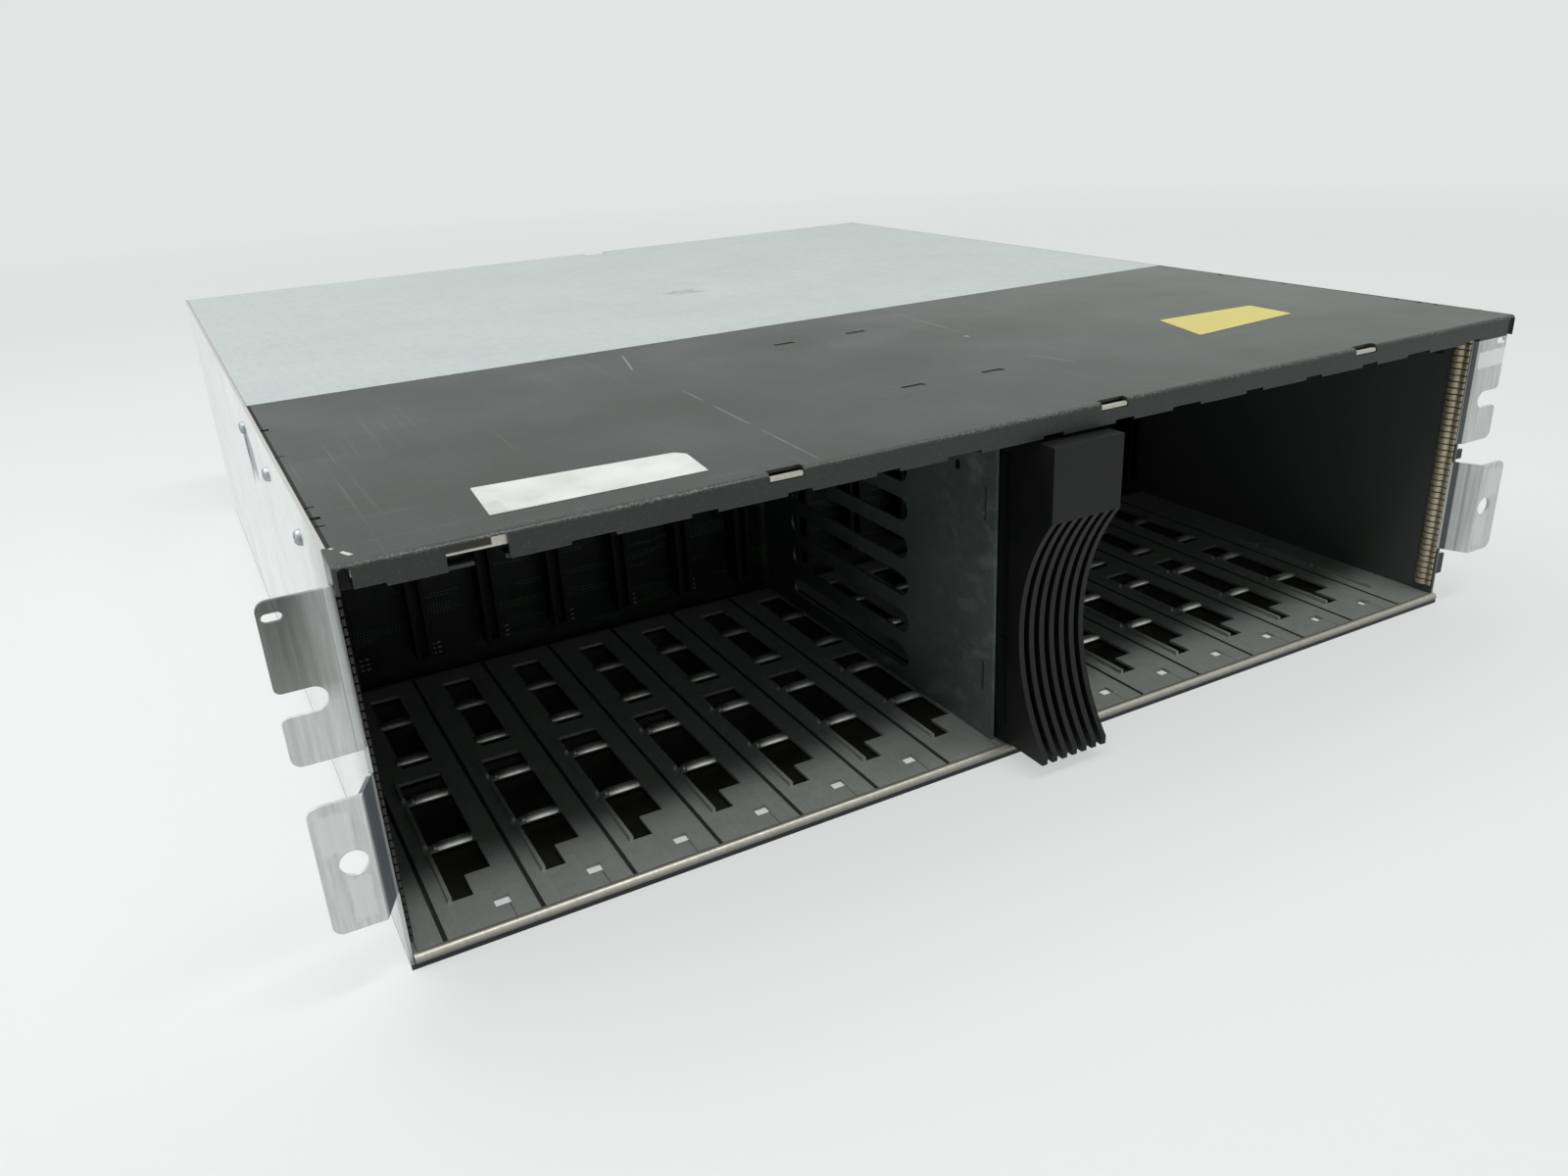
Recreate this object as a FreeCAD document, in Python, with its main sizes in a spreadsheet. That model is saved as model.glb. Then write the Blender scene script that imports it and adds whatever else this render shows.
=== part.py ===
import FreeCAD, Part
import math
import os
import re

import Sketcher

os.makedirs("parts", exist_ok=True)
doc = FreeCAD.newDocument("StorageEnclosure")
sheet = doc.addObject("Spreadsheet::Sheet", "Sizes")

# Driving dimensions, in millimetres unless a count
SIZES = {
    # drive bays, which set the width of the chassis
    "left_bays": 7,
    "right_bays": 8,
    "bay_pitch": 29.4,
    "left_margin": 1.0,
    "right_margin": 0.2,
    # chassis shell
    "chassis_depth": 481.5,
    "chassis_height": 127.5,
    "pan_gauge": 1.5,
    "pan_overhang": 2.0,
    "wall_gauge": 1.2,
    "cover_gauge": 1.0,
    "plate_gauge": 1.2,
    "flange_width": 12.0,
    "flange_setback": 4.0,
    "sheet_fit": 0.1,
    "cover_seam": 175.0,
    "seam_gap": 0.3,
    # rack ears
    "ear_reach": 17.8,
    "ear_corner": 3.0,
    "ear_bend": 1.5,
    "upper_ear_front": 1.5,
    "ear_gap": 8.0,
    "ear_top_gap": 9.5,
    "lower_ear_front": 10.0,
    "lower_ear_slope": 0.45,
    "lower_ear_low": 25.0,
    "lower_ear_high": 64.0,
    "rack_hole_inset": 9.05,
    "rack_hole_level": 45.2,
    "rack_hole_radius": 3.75,
    "notch_rise": 44.45,
    "notch_radius": 3.5,
    "notch_corner": 1.8,
    "tie_slot_inset": 14.3,
    "tie_slot_drop": 4.5,
    "tie_slot_length": 5.0,
    "tie_slot_radius": 1.25,
    "nub_reach": 3.5,
    "nub_low": 13.0,
    "nub_length": 9.0,
    "mid_nub_low": 65.0,
    "mid_nub_length": 4.0,
    # side wall openings and cover screws
    "wall_slot_depth": 203.0,
    "wall_slot_top_gap": 17.5,
    "wall_slot_length": 16.0,
    "wall_slot_radius": 4.0,
    "screw_first": 48.0,
    "screw_pitch": 72.0,
    "screw_rear": 17.0,
    "screw_drop": 11.5,
    "screw_shank": 2.0,
    "screw_head": 2.9,
    "screw_head_height": 2.2,
    "screw_length": 3.0,
    "screw_hole": 2.2,
    # covers
    "lip_reach": 14.3,
    "lip_drop": 7.6,
    "lip_return": 6.0,
    "lip_round": 1.6,
    "lip_corner": 0.8,
    "lip_end": 1.0,
    "lip_slot_width": 3.2,
    "lip_slot_drop": 0.9,
    "lip_notch_width": 8.0,
    "lip_notch_shift": 9.0,
    "lip_wide_notch": 12.5,
    "lip_gap_shift": 15.9,
    "lip_gap_width": 15.7,
    "clip_slot_width": 11.0,
    "clip_slot_pitch": 119.3,
    "clip_slot_shift": 17.4,
    "clip_slot_drop": 2.8,
    "clip_slot_depth": 3.0,
    "cover_flange_drop": 18.5,
    "cover_flange_front": 12.0,
    "cover_flange_back": 4.0,
    "dimple_width": 9.0,
    "dimple_length": 3.0,
    "dimple_depth": 0.5,
    "dimple_spread": 34.0,
    "dimple_first": 43.0,
    "dimple_pitch": 93.0,
    "edge_tick_width": 2.6,
    "edge_tick_length": 2.4,
    "edge_tick_first": 25.3,
    "edge_tick_pitch": 107.3,
    "fine_tick_length": 0.9,
    "fine_tick_before": 7.2,
    "fine_tick_after": 10.8,
    "fine_tick_far": 69.5,
    "rear_notch_place": 23.0,
    "rear_notch_width": 14.0,
    "rear_notch_depth": 9.0,
    # gaskets
    "bead_radius": 1.7,
    "bead_front": 3.0,
    "tongue_reach": 0.5,
    "tongue_fit": 0.1,
    "lip_strip_drop": 1.3,
    "lip_strip_height": 2.6,
    "lip_strip_gauge": 0.6,
    "lip_strip_inset": 4.0,
    "clip_play": 0.3,
    "finger_front": 0.6,
    "finger_width": 7.8,
    "finger_bulge": 1.6,
    "finger_low": 7.2,
    "finger_top_gap": 0.7,
    "finger_count": 28,
    "finger_slit": 0.5,
    "finger_strip": 0.4,
    "finger_column": 1.8,
    "finger_column_rise": 1.0,
    "finger_groove": 0.5,
    # drive guide plate, places measured from a bay's middle line
    "plate_gap": 4.0,
    "groove_shift": 6.2,
    "groove_width": 1.3,
    "groove_depth": 0.5,
    "pin_hole_shift": 13.3,
    "pin_hole_width": 4.9,
    "pin_hole_length": 4.5,
    "pin_hole_back": 10.5,
    "pan_hole_width": 9.5,
    "pan_hole_length": 8.8,
    "pan_hole_shift": 15.3,
    "pan_hole_back": 12.6,
    "rail_gauge": 1.2,
    "rail_height": 1.5,
    "window_front": 17.8,
    "window_foot": 6.6,
    "window_step": 29.3,
    "window_width": 15.0,
    "window_back": 95.0,
    "bar_width": 3.0,
    "front_bar": 47.8,
    "back_bar": 79.8,
    "rear_window_inset": 3.8,
    "rear_window_front": 105.0,
    "rear_window_back": 165.0,
    "rear_window_bar": 109.0,
    "rear_window_bar_pitch": 31.0,
    "bar_inset": 1.8,
    "bar_length": 12.4,
    "bar_bulge": 1.0,
    "rail_break": 4.0,
    # centre divider
    "divider_front": 5.0,
    "divider_flange": 10.0,
    "divider_slots": 6,
    "divider_slot_front": 57.6,
    "divider_slot_back": 150.0,
    "divider_slot_first": 14.4,
    "divider_slot_pitch": 15.4,
    "divider_slot_radius": 4.5,
    "divider_key_back": 10.8,
    "divider_key_low": 22.5,
    "divider_key_rise": 65.0,
    "divider_key_length": 10.5,
    "divider_key_radius": 0.9,
    "divider_hole_back": 26.7,
    "divider_hole_level": 102.4,
    "divider_hole_radius": 2.0,
    # midplane
    "board_front": 180.0,
    "board_gauge": 2.4,
    "board_margin": 1.0,
    "board_top_gap": 4.5,
    "board_window_drop": 12.0,
    "board_window_height": 40.0,
    "board_window_width": 13.0,
    "plug_width": 7.0,
    "plug_length": 11.0,
    "plug_low": 14.0,
    "plug_height": 44.0,
    "plug_wall": 1.8,
    "socket_length": 12.0,
    "socket_width": 30.0,
    "socket_height": 8.0,
    "socket_rise": 12.0,
    # drive blank
    "blank_play": 1.2,
    "blank_front": 21.0,
    "blank_back": 54.0,
    "blank_top_gap": 1.3,
    "blank_brow_height": 25.1,
    "blank_toe": 3.0,
    "blank_scoop_radius": 69.0,
    "blank_fins": 7,
    "blank_fin_gauge": 2.15,
    "blank_fin_depth": 9.0,
    "blank_wall": 2.0,
    "blank_pan": 6.0,
    "clip_gauge": 0.5,
    "clip_front": 0.7,
    "clip_width": 5.2,
    "clip_inset": 7.0,
    "clip_cut": 1.0,
    "seat_gap": 0.3,
    # rear modules
    "module_clear": 0.6,
    "module_gauge": 1.0,
    "face_gauge": 2.0,
    "connector_gap": 0.6,
    "supply_width": 56.0,
    "blower_width": 88.0,
    "link_height": 37.0,
    # power supply
    "inlet_level": 24.0,
    "inlet_width": 27.0,
    "inlet_height": 19.0,
    "inlet_fit": 0.2,
    "inlet_rim": 2.5,
    "inlet_rim_gauge": 2.0,
    "inlet_depth": 16.0,
    "inlet_wall": 1.5,
    "inlet_chamfer": 4.0,
    "blade_gauge": 2.0,
    "blade_height": 4.0,
    "blade_spread": 7.0,
    "blade_raise": 2.5,
    "blade_length": 8.0,
    "vent_count": 7,
    "vent_pitch": 6.0,
    "vent_radius": 1.5,
    "vent_low": 64.0,
    "vent_high": 94.0,
    "lug_inner": 20.0,
    "lug_gauge": 3.0,
    "lug_reach": 9.0,
    "lug_half": 4.0,
    "handle_hinge_drop": 9.7,
    "handle_hinge_out": 5.0,
    "handle_drop": 62.0,
    "handle_bar": 8.0,
    "handle_leg": 6.7,
    "handle_gauge": 5.0,
    "handle_round": 3.0,
    "hinge_radius": 2.0,
    "hinge_fit": 0.05,
    "hinge_side_gap": 0.3,
    "converter_post": 5.0,
    "converter_inset": 4.0,
    "converter_board": 1.6,
    "converter_back": 30.0,
    "coil_length": 42.0,
    "coil_height": 34.0,
    "coil_place": 60.0,
    "can_radius": 11.0,
    "can_height": 40.0,
    "can_pitch": 30.0,
    "can_place": 110.0,
    # blower
    "blower_length": 110.0,
    "blower_wall": 2.0,
    "duct_gap": 2.0,
    "duct_wall": 2.0,
    "blower_face": 3.0,
    "spider_arm": 5.0,
    "spider_gauge": 5.0,
    "spider_setback": 1.0,
    "motor_radius": 15.0,
    "motor_length": 24.0,
    "motor_gap": 1.5,
    "shaft_radius": 3.0,
    "shaft_length": 14.0,
    "hub_wall": 2.0,
    "hub_face": 4.0,
    "blade_count": 9,
    "vane_gap": 2.0,
    "vane_sweep": 20.0,
    "vane_curve": 30.0,
    "vane_gauge": 1.6,
    "rim_gap": 2.0,
    "guard_gauge": 1.6,
    "guard_rim": 3.5,
    "guard_ring": 2.0,
    "guard_pitch": 9.0,
    "guard_spoke": 3.0,
    # link module
    "cage_width": 14.6,
    "cage_height": 10.6,
    "cage_wall": 0.8,
    "cage_length": 45.0,
    "cage_proud": 1.5,
    "cage_level": 18.5,
    "cage_pitch": 26.0,
    "cage_fit": 0.2,
    "lever_inset": 14.0,
    "lever_gap": 4.7,
    "lever_heel": 3.4,
    "lever_gauge": 6.0,
    "lever_height": 13.0,
    "lever_lug": 3.0,
    "lever_lug_half": 4.0,
    # monitor module
    "display_width": 40.0,
    "display_height": 16.0,
    "display_inset": 10.0,
    "display_gauge": 1.4,
    "display_fit": 0.2,
    "button_inset": 22.0,
    "button_radius": 4.0,
    "button_fit": 0.08,
    "button_proud": 2.4,
    "button_collar": 5.6,
    "button_collar_gauge": 1.6,
    "button_tail": 4.0,
}
for row, (alias, size) in enumerate(SIZES.items(), start=1):
    sheet.set(f"A{row}", alias.replace("_", " "))
    sheet.set(f"B{row}", str(size))
    sheet.setAlias(f"B{row}", alias)
doc.recompute()

# Places worked out from the driving dimensions
HALF_IN = ("((left_bays + right_bays) * bay_pitch / 2 + left_margin + right_margin + wall_gauge / 2)")
HALF_OUT = f"({HALF_IN} + wall_gauge)"
DIVIDER_LEFT = f"(2 * left_margin + left_bays * bay_pitch - {HALF_IN})"
LEFT_FIRST = f"(left_margin + bay_pitch / 2 - {HALF_IN})"
RIGHT_FIRST = f"({DIVIDER_LEFT} + wall_gauge + right_margin + bay_pitch / 2)"
FLANGE_TOP = "(pan_gauge + wall_gauge)"
FLOOR_TOP = f"({FLANGE_TOP} + plate_gauge)"
COVER_UNDER = "(chassis_height - cover_gauge)"
COVER_HALF = f"({HALF_IN} - sheet_fit)"
COVER_FLANGE_IN = f"({COVER_HALF} - cover_gauge)"
LIP_LOW = "(chassis_height - lip_drop)"
BEAD_LEVEL = "(pan_gauge + bead_radius)"
BEAD_MIDDLE = "(bead_radius - bead_front)"
BOARD_BACK = "(board_front + board_gauge)"
MODULE_FRONT = f"({BOARD_BACK} + socket_length + connector_gap)"
MODULE_LENGTH = f"(chassis_depth - {MODULE_FRONT})"
MODULE_LOW = f"({FLOOR_TOP} + seat_gap)"
MODULE_HEIGHT = f"({COVER_UNDER} - module_clear - {MODULE_LOW})"
SUPPLY_OUTER = f"({COVER_FLANGE_IN} - module_clear)"
SUPPLY_MIDDLE = f"({SUPPLY_OUTER} - supply_width / 2)"
BLOWER_OUTER = f"({SUPPLY_OUTER} - supply_width - 2 * module_clear)"
BLOWER_MIDDLE = f"({BLOWER_OUTER} - blower_width / 2)"
PARTITION_OUTER = f"({BLOWER_OUTER} - blower_width - module_clear)"
PARTITION_INNER = f"({PARTITION_OUTER} - wall_gauge)"
LINK_HALF = f"({PARTITION_INNER} - module_clear)"
LINK_STEP = "(seat_gap + link_height + module_clear + wall_gauge)"
MONITOR_LOW = f"({FLOOR_TOP} + 2 * {LINK_STEP} + seat_gap)"
MONITOR_HEIGHT = f"({COVER_UNDER} - module_clear - {MONITOR_LOW})"
BLANK_LOW = f"({FLOOR_TOP} + rail_height + seat_gap)"
BLANK_TOP = f"({LIP_LOW} - blank_top_gap)"
BLANK_BROW = f"({BLANK_TOP} - blank_brow_height)"
BLANK_HALF = "((bay_pitch - blank_play) / 2)"
UPPER_EAR_LOW = "(lower_ear_high + ear_gap)"
UPPER_EAR_HIGH = "(chassis_height - ear_top_gap)"
SCREW_LEVEL = "(chassis_height - screw_drop)"
SCREW_PLACES = ["screw_first", "screw_first + screw_pitch", "cover_seam + screw_rear"]
LIP_STRIP_HIGH = "(chassis_height - lip_strip_drop)"
FINGER_PITCH = f"(({LIP_LOW} - finger_top_gap - finger_low) / finger_count)"
PLATE_BACK = "(board_front - plate_gap)"
BOARD_TOP = f"({COVER_UNDER} - board_top_gap)"
HINGE_LEVEL = f"({MODULE_HEIGHT} - handle_hinge_drop)"
BLOWER_BORE = "(blower_width / 2 - blower_wall - duct_gap - duct_wall)"
VANE_RADIUS = f"({BLOWER_BORE} - vane_gap)"
LEVER_LENGTH = f"({LINK_HALF} - lever_inset - cage_pitch / 2 - cage_width / 2 - lever_gap)"
DISPLAY_PLACE = f"(display_inset + display_width / 2 - {LINK_HALF})"
BUTTON_PLACE = f"({LINK_HALF} - button_inset)"
BAY_GROUPS = {"left": (LEFT_FIRST, "left_bays"), "right": (RIGHT_FIRST, "right_bays")}
SIDES = {"left": -1, "right": 1}


def value(expression):
    return float(sheet.evalExpression(expression))


def bound(expression):
    return re.sub(r"\b[a-z][a-z_]*\b(?!\()", r"Sizes.\g<0>", expression)


# Sketching: every point is held by expressions, so an outline follows the sheet
def pin(sketch, geometry, point, across, along):
    for kind, expression in (("DistanceX", across), ("DistanceY", along)):
        held = Sketcher.Constraint(kind, -1, 1, geometry, point, value(expression))
        index = sketch.addConstraint(held)
        sketch.setExpression(f"Constraints[{index}]", bound(expression))


def hold_radius(sketch, geometry, radius):
    index = sketch.addConstraint(Sketcher.Constraint("Radius", geometry, value(radius)))
    sketch.setExpression(f"Constraints[{index}]", bound(radius))


def arc_between(start, end, radius, turn):
    chord = end - start
    middle = (start + end) * 0.5
    rise = math.sqrt(max(radius ** 2 - chord.Length ** 2 / 4, 0))
    normal = FreeCAD.Vector(-chord.y, chord.x, 0).normalize()
    centre = middle + normal * (rise * turn)
    first, last = (start, end) if turn > 0 else (end, start)
    angles = [math.atan2(point.y - centre.y, point.x - centre.x) for point in (first, last)]
    circle = Part.Circle(centre, FreeCAD.Vector(0, 0, 1), radius)
    return Part.ArcOfCircle(circle, angles[0], angles[1])


# A closed outline: (x, y) starts a straight edge, (x, y, radius, turn) starts an arc
def outline(sketch, steps):
    points = [FreeCAD.Vector(value(step[0]), value(step[1]), 0) for step in steps]
    ends = []
    for index, step in enumerate(steps):
        start, end = points[index], points[(index + 1) % len(points)]
        if len(step) == 2:
            geometry = sketch.addGeometry(Part.LineSegment(start, end))
            ends.append((geometry, 1, 2))
        else:
            geometry = sketch.addGeometry(arc_between(start, end, value(step[2]), step[3]))
            ends.append((geometry, 1, 2) if step[3] > 0 else (geometry, 2, 1))
    for (geometry, _, last), (following, start, _) in zip(ends, ends[1:] + ends[:1]):
        sketch.addConstraint(Sketcher.Constraint("Coincident", geometry, last, following, start))
    for (geometry, first, _), step in zip(ends, steps):
        pin(sketch, geometry, first, step[0], step[1])
        if len(step) == 4:
            hold_radius(sketch, geometry, step[2])


def rectangle(sketch, x0, x1, y0, y1):
    outline(sketch, [(x0, y0), (x1, y0), (x1, y1), (x0, y1)])


def circle(sketch, across, along, radius):
    middle = FreeCAD.Vector(value(across), value(along), 0)
    shape = Part.Circle(middle, FreeCAD.Vector(0, 0, 1), value(radius))
    geometry = sketch.addGeometry(shape)
    pin(sketch, geometry, 3, across, along)
    hold_radius(sketch, geometry, radius)


# A slot with round ends between two centres, level or upright
def slot(sketch, start, end, radius):
    first = FreeCAD.Vector(value(start[0]), value(start[1]), 0)
    last = FreeCAD.Vector(value(end[0]), value(end[1]), 0)
    size = value(radius)
    heading = math.atan2(last.y - first.y, last.x - first.x)
    aside = FreeCAD.Vector(-math.sin(heading), math.cos(heading), 0) * size
    normal = FreeCAD.Vector(0, 0, 1)
    quarter = math.pi / 2
    caps = [
        Part.ArcOfCircle(Part.Circle(first, normal, size), heading + quarter, heading + 3 * quarter),
        Part.ArcOfCircle(Part.Circle(last, normal, size), heading - quarter, heading + quarter),
    ]
    start_cap, end_cap = [sketch.addGeometry(cap) for cap in caps]
    under = sketch.addGeometry(Part.LineSegment(first - aside, last - aside))
    over = sketch.addGeometry(Part.LineSegment(last + aside, first + aside))
    joins = [(start_cap, 2, under, 1), (under, 2, end_cap, 1), (end_cap, 2, over, 1), (over, 2, start_cap, 1)]
    for join in joins:
        sketch.addConstraint(Sketcher.Constraint("Tangent", *join))
    for cap, centre in ((start_cap, start), (end_cap, end)):
        pin(sketch, cap, 3, centre[0], centre[1])
        hold_radius(sketch, cap, radius)


# Bodies and their features
def new_body(node):
    body = doc.addObject("PartDesign::Body", node)
    body.Label = node
    body.AllowCompound = True
    return body


def origin_feature(body, role):
    return next(feature for feature in body.Origin.OriginFeatures if feature.Role == role)


def new_sketch(body, name, plane, level):
    sketch = body.newObject("Sketcher::SketchObject", name + "_sketch")
    sketch.AttachmentSupport = [(origin_feature(body, plane + "_Plane"), "")]
    sketch.MapMode = "FlatFace"
    height = f"-({level})" if plane == "XZ" else level
    sketch.setExpression("AttachmentOffset.Base.z", bound(height))
    return sketch


# Material between two levels along the axis that the plane faces
def pad(body, name, plane, low, high, draw):
    sketch = new_sketch(body, name, plane, high if plane == "XZ" else low)
    draw(sketch)
    feature = body.newObject("PartDesign::Pad", name)
    feature.Profile = sketch
    feature.setExpression("Length", bound(f"({high}) - ({low})"))
    body.Tip = feature
    return feature


def pocket(body, name, plane, low, high, draw):
    sketch = new_sketch(body, name, plane, low if plane == "XZ" else high)
    draw(sketch)
    feature = body.newObject("PartDesign::Pocket", name)
    feature.Profile = sketch
    feature.setExpression("Length", bound(f"({high}) - ({low})"))
    body.Tip = feature
    return feature


def repeat(body, name, feature, axis, pitch, count):
    pattern = body.newObject("PartDesign::LinearPattern", name)
    pattern.Originals = [feature]
    pattern.Direction = (origin_feature(body, axis + "_Axis"), [""])
    pattern.Mode = "Spacing"
    pattern.setExpression("Offset", bound(pitch))
    pattern.setExpression("Occurrences", bound(count))
    body.Tip = pattern
    return pattern


def mirror(body, name, features, plane):
    mirrored = body.newObject("PartDesign::Mirrored", name)
    mirrored.Originals = features
    mirrored.MirrorPlane = (origin_feature(body, plane + "_Plane"), [""])
    body.Tip = mirrored
    return mirrored


def round_edges(body, name, radius, wanted):
    doc.recompute()
    base = body.Tip
    found = [f"Edge{index}" for index, edge in enumerate(base.Shape.Edges, start=1) if wanted(edge)]
    feature = body.newObject("PartDesign::Fillet", name)
    feature.Base = (base, found)
    feature.setExpression("Radius", bound(radius))
    body.Tip = feature
    return feature


def lies_on(edge, **levels):
    box = edge.BoundBox
    spans = {"x": (box.XMin, box.XMax), "y": (box.YMin, box.YMax), "z": (box.ZMin, box.ZMax)}
    near = 1e-3
    return all(abs(end - level) < near for axis, level in levels.items() for end in spans[axis])


def place(body, x, y, z):
    for axis, expression in (("x", x), ("y", y), ("z", z)):
        body.setExpression(f"Placement.Base.{axis}", bound(expression))


def block(node, x0, x1, y0, y1, z0, z1):
    solid = doc.addObject("Part::Box", node)
    solid.Label = node
    for name, low, high in (("Length", x0, x1), ("Width", y0, y1), ("Height", z0, z1)):
        solid.setExpression(name, bound(f"({high}) - ({low})"))
    place(solid, x0, y0, z0)
    return solid


# Floor of the chassis: a flat pan with a square hole between drive bays
def base_pan():
    body = new_body("base_pan")
    edges = (f"-{HALF_OUT}", HALF_OUT, "-pan_overhang", "chassis_depth")
    pad(body, "pan_sheet", "XY", "0", "pan_gauge", lambda sketch: rectangle(sketch, *edges))
    for side, (first, bays) in BAY_GROUPS.items():
        cut = pocket(body, side + "_pan_hole", "XY", "0", "pan_gauge",
                     lambda sketch: bay_hole(sketch, f"{first} + pan_hole_shift", "pan_hole_width",
                                             "pan_hole_back", "pan_hole_length"))
        repeat(body, side + "_pan_holes", cut, "X", "bay_pitch", f"{bays} - 1")
    return body


def bay_hole(sketch, middle, width, back, length):
    rectangle(sketch, f"{middle} - {width} / 2", f"{middle} + {width} / 2",
              f"{back} - {length} / 2", f"{back} + {length} / 2")


# Floor of the drive bays: rails lanced up beside stepped windows, grooves and small holes between bays
def drive_guide_plate():
    body = new_body("drive_guide_plate")
    edges = (f"-{COVER_HALF}", COVER_HALF, "-tongue_reach", PLATE_BACK)
    pad(body, "plate_sheet", "XY", FLANGE_TOP, FLOOR_TOP, lambda sketch: rectangle(sketch, *edges))
    for side, (first, bays) in BAY_GROUPS.items():
        wide_bays = bays if side == "left" else f"{bays} - 1"
        right = f"{first} + window_width"

        def front_windows(sketch):
            foot = f"{first} + window_foot"
            outline(sketch, [(first, "window_front"), (foot, "window_front"), (foot, "window_step"),
                             (right, "window_step"), (right, "front_bar"), (first, "front_bar")])
            rectangle(sketch, first, right, "front_bar + bar_width", "back_bar")
            rectangle(sketch, first, right, "back_bar + bar_width", "window_back")

        def rear_windows(sketch):
            left = f"{first} + rear_window_inset"
            second_bar = "rear_window_bar + rear_window_bar_pitch"
            rectangle(sketch, left, right, "rear_window_front", "rear_window_bar")
            rectangle(sketch, left, right, "rear_window_bar + bar_width", second_bar)
            rectangle(sketch, left, right, f"{second_bar} + bar_width", "rear_window_back")

        def groove(sketch):
            middle = f"{first} - groove_shift"
            rectangle(sketch, f"{middle} - groove_width / 2", f"{middle} + groove_width / 2",
                      "-tongue_reach", PLATE_BACK)

        def rail(sketch):
            breaks = ["window_front", "front_bar - rail_break / 2", "front_bar + rail_break / 2",
                      "back_bar - rail_break / 2", "back_bar + rail_break / 2", "window_back"]
            for start, end in zip(breaks[::2], breaks[1::2]):
                rectangle(sketch, f"{first} - rail_gauge", first, start, end)

        def bar_crown(sketch):
            crown = "(bar_width * bar_width / 4 + bar_bulge * bar_bulge) / (2 * bar_bulge)"
            for start in ("front_bar", "back_bar"):
                outline(sketch, [(start, FLOOR_TOP), (f"{start} + bar_width", FLOOR_TOP, crown, 1)])

        bar_left = f"{first} + bar_inset"
        bar_right = f"{bar_left} + bar_length"
        rail_top = f"{FLOOR_TOP} + rail_height"
        groove_floor = f"{FLOOR_TOP} - groove_depth"
        for name, feature, count in (
            ("rail", pad(body, side + "_rail", "XY", FLANGE_TOP, rail_top, rail), bays),
            ("bar", pad(body, side + "_bar", "YZ", bar_left, bar_right, bar_crown), wide_bays),
            ("window", pocket(body, side + "_window", "XY", FLANGE_TOP, FLOOR_TOP, front_windows), wide_bays),
            ("rear", pocket(body, side + "_rear", "XY", FLANGE_TOP, FLOOR_TOP, rear_windows), wide_bays),
            ("groove", pocket(body, side + "_groove", "XY", groove_floor, FLOOR_TOP, groove), bays),
            ("hole", pocket(body, side + "_hole", "XY", FLANGE_TOP, FLOOR_TOP,
                            lambda sketch: bay_hole(sketch, f"{first} + pin_hole_shift", "pin_hole_width",
                                                    "pin_hole_back", "pin_hole_length")), f"{bays} - 1"),
        ):
            repeat(body, f"{side}_{name}_row", feature, "X", "bay_pitch", count)
    return body


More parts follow.
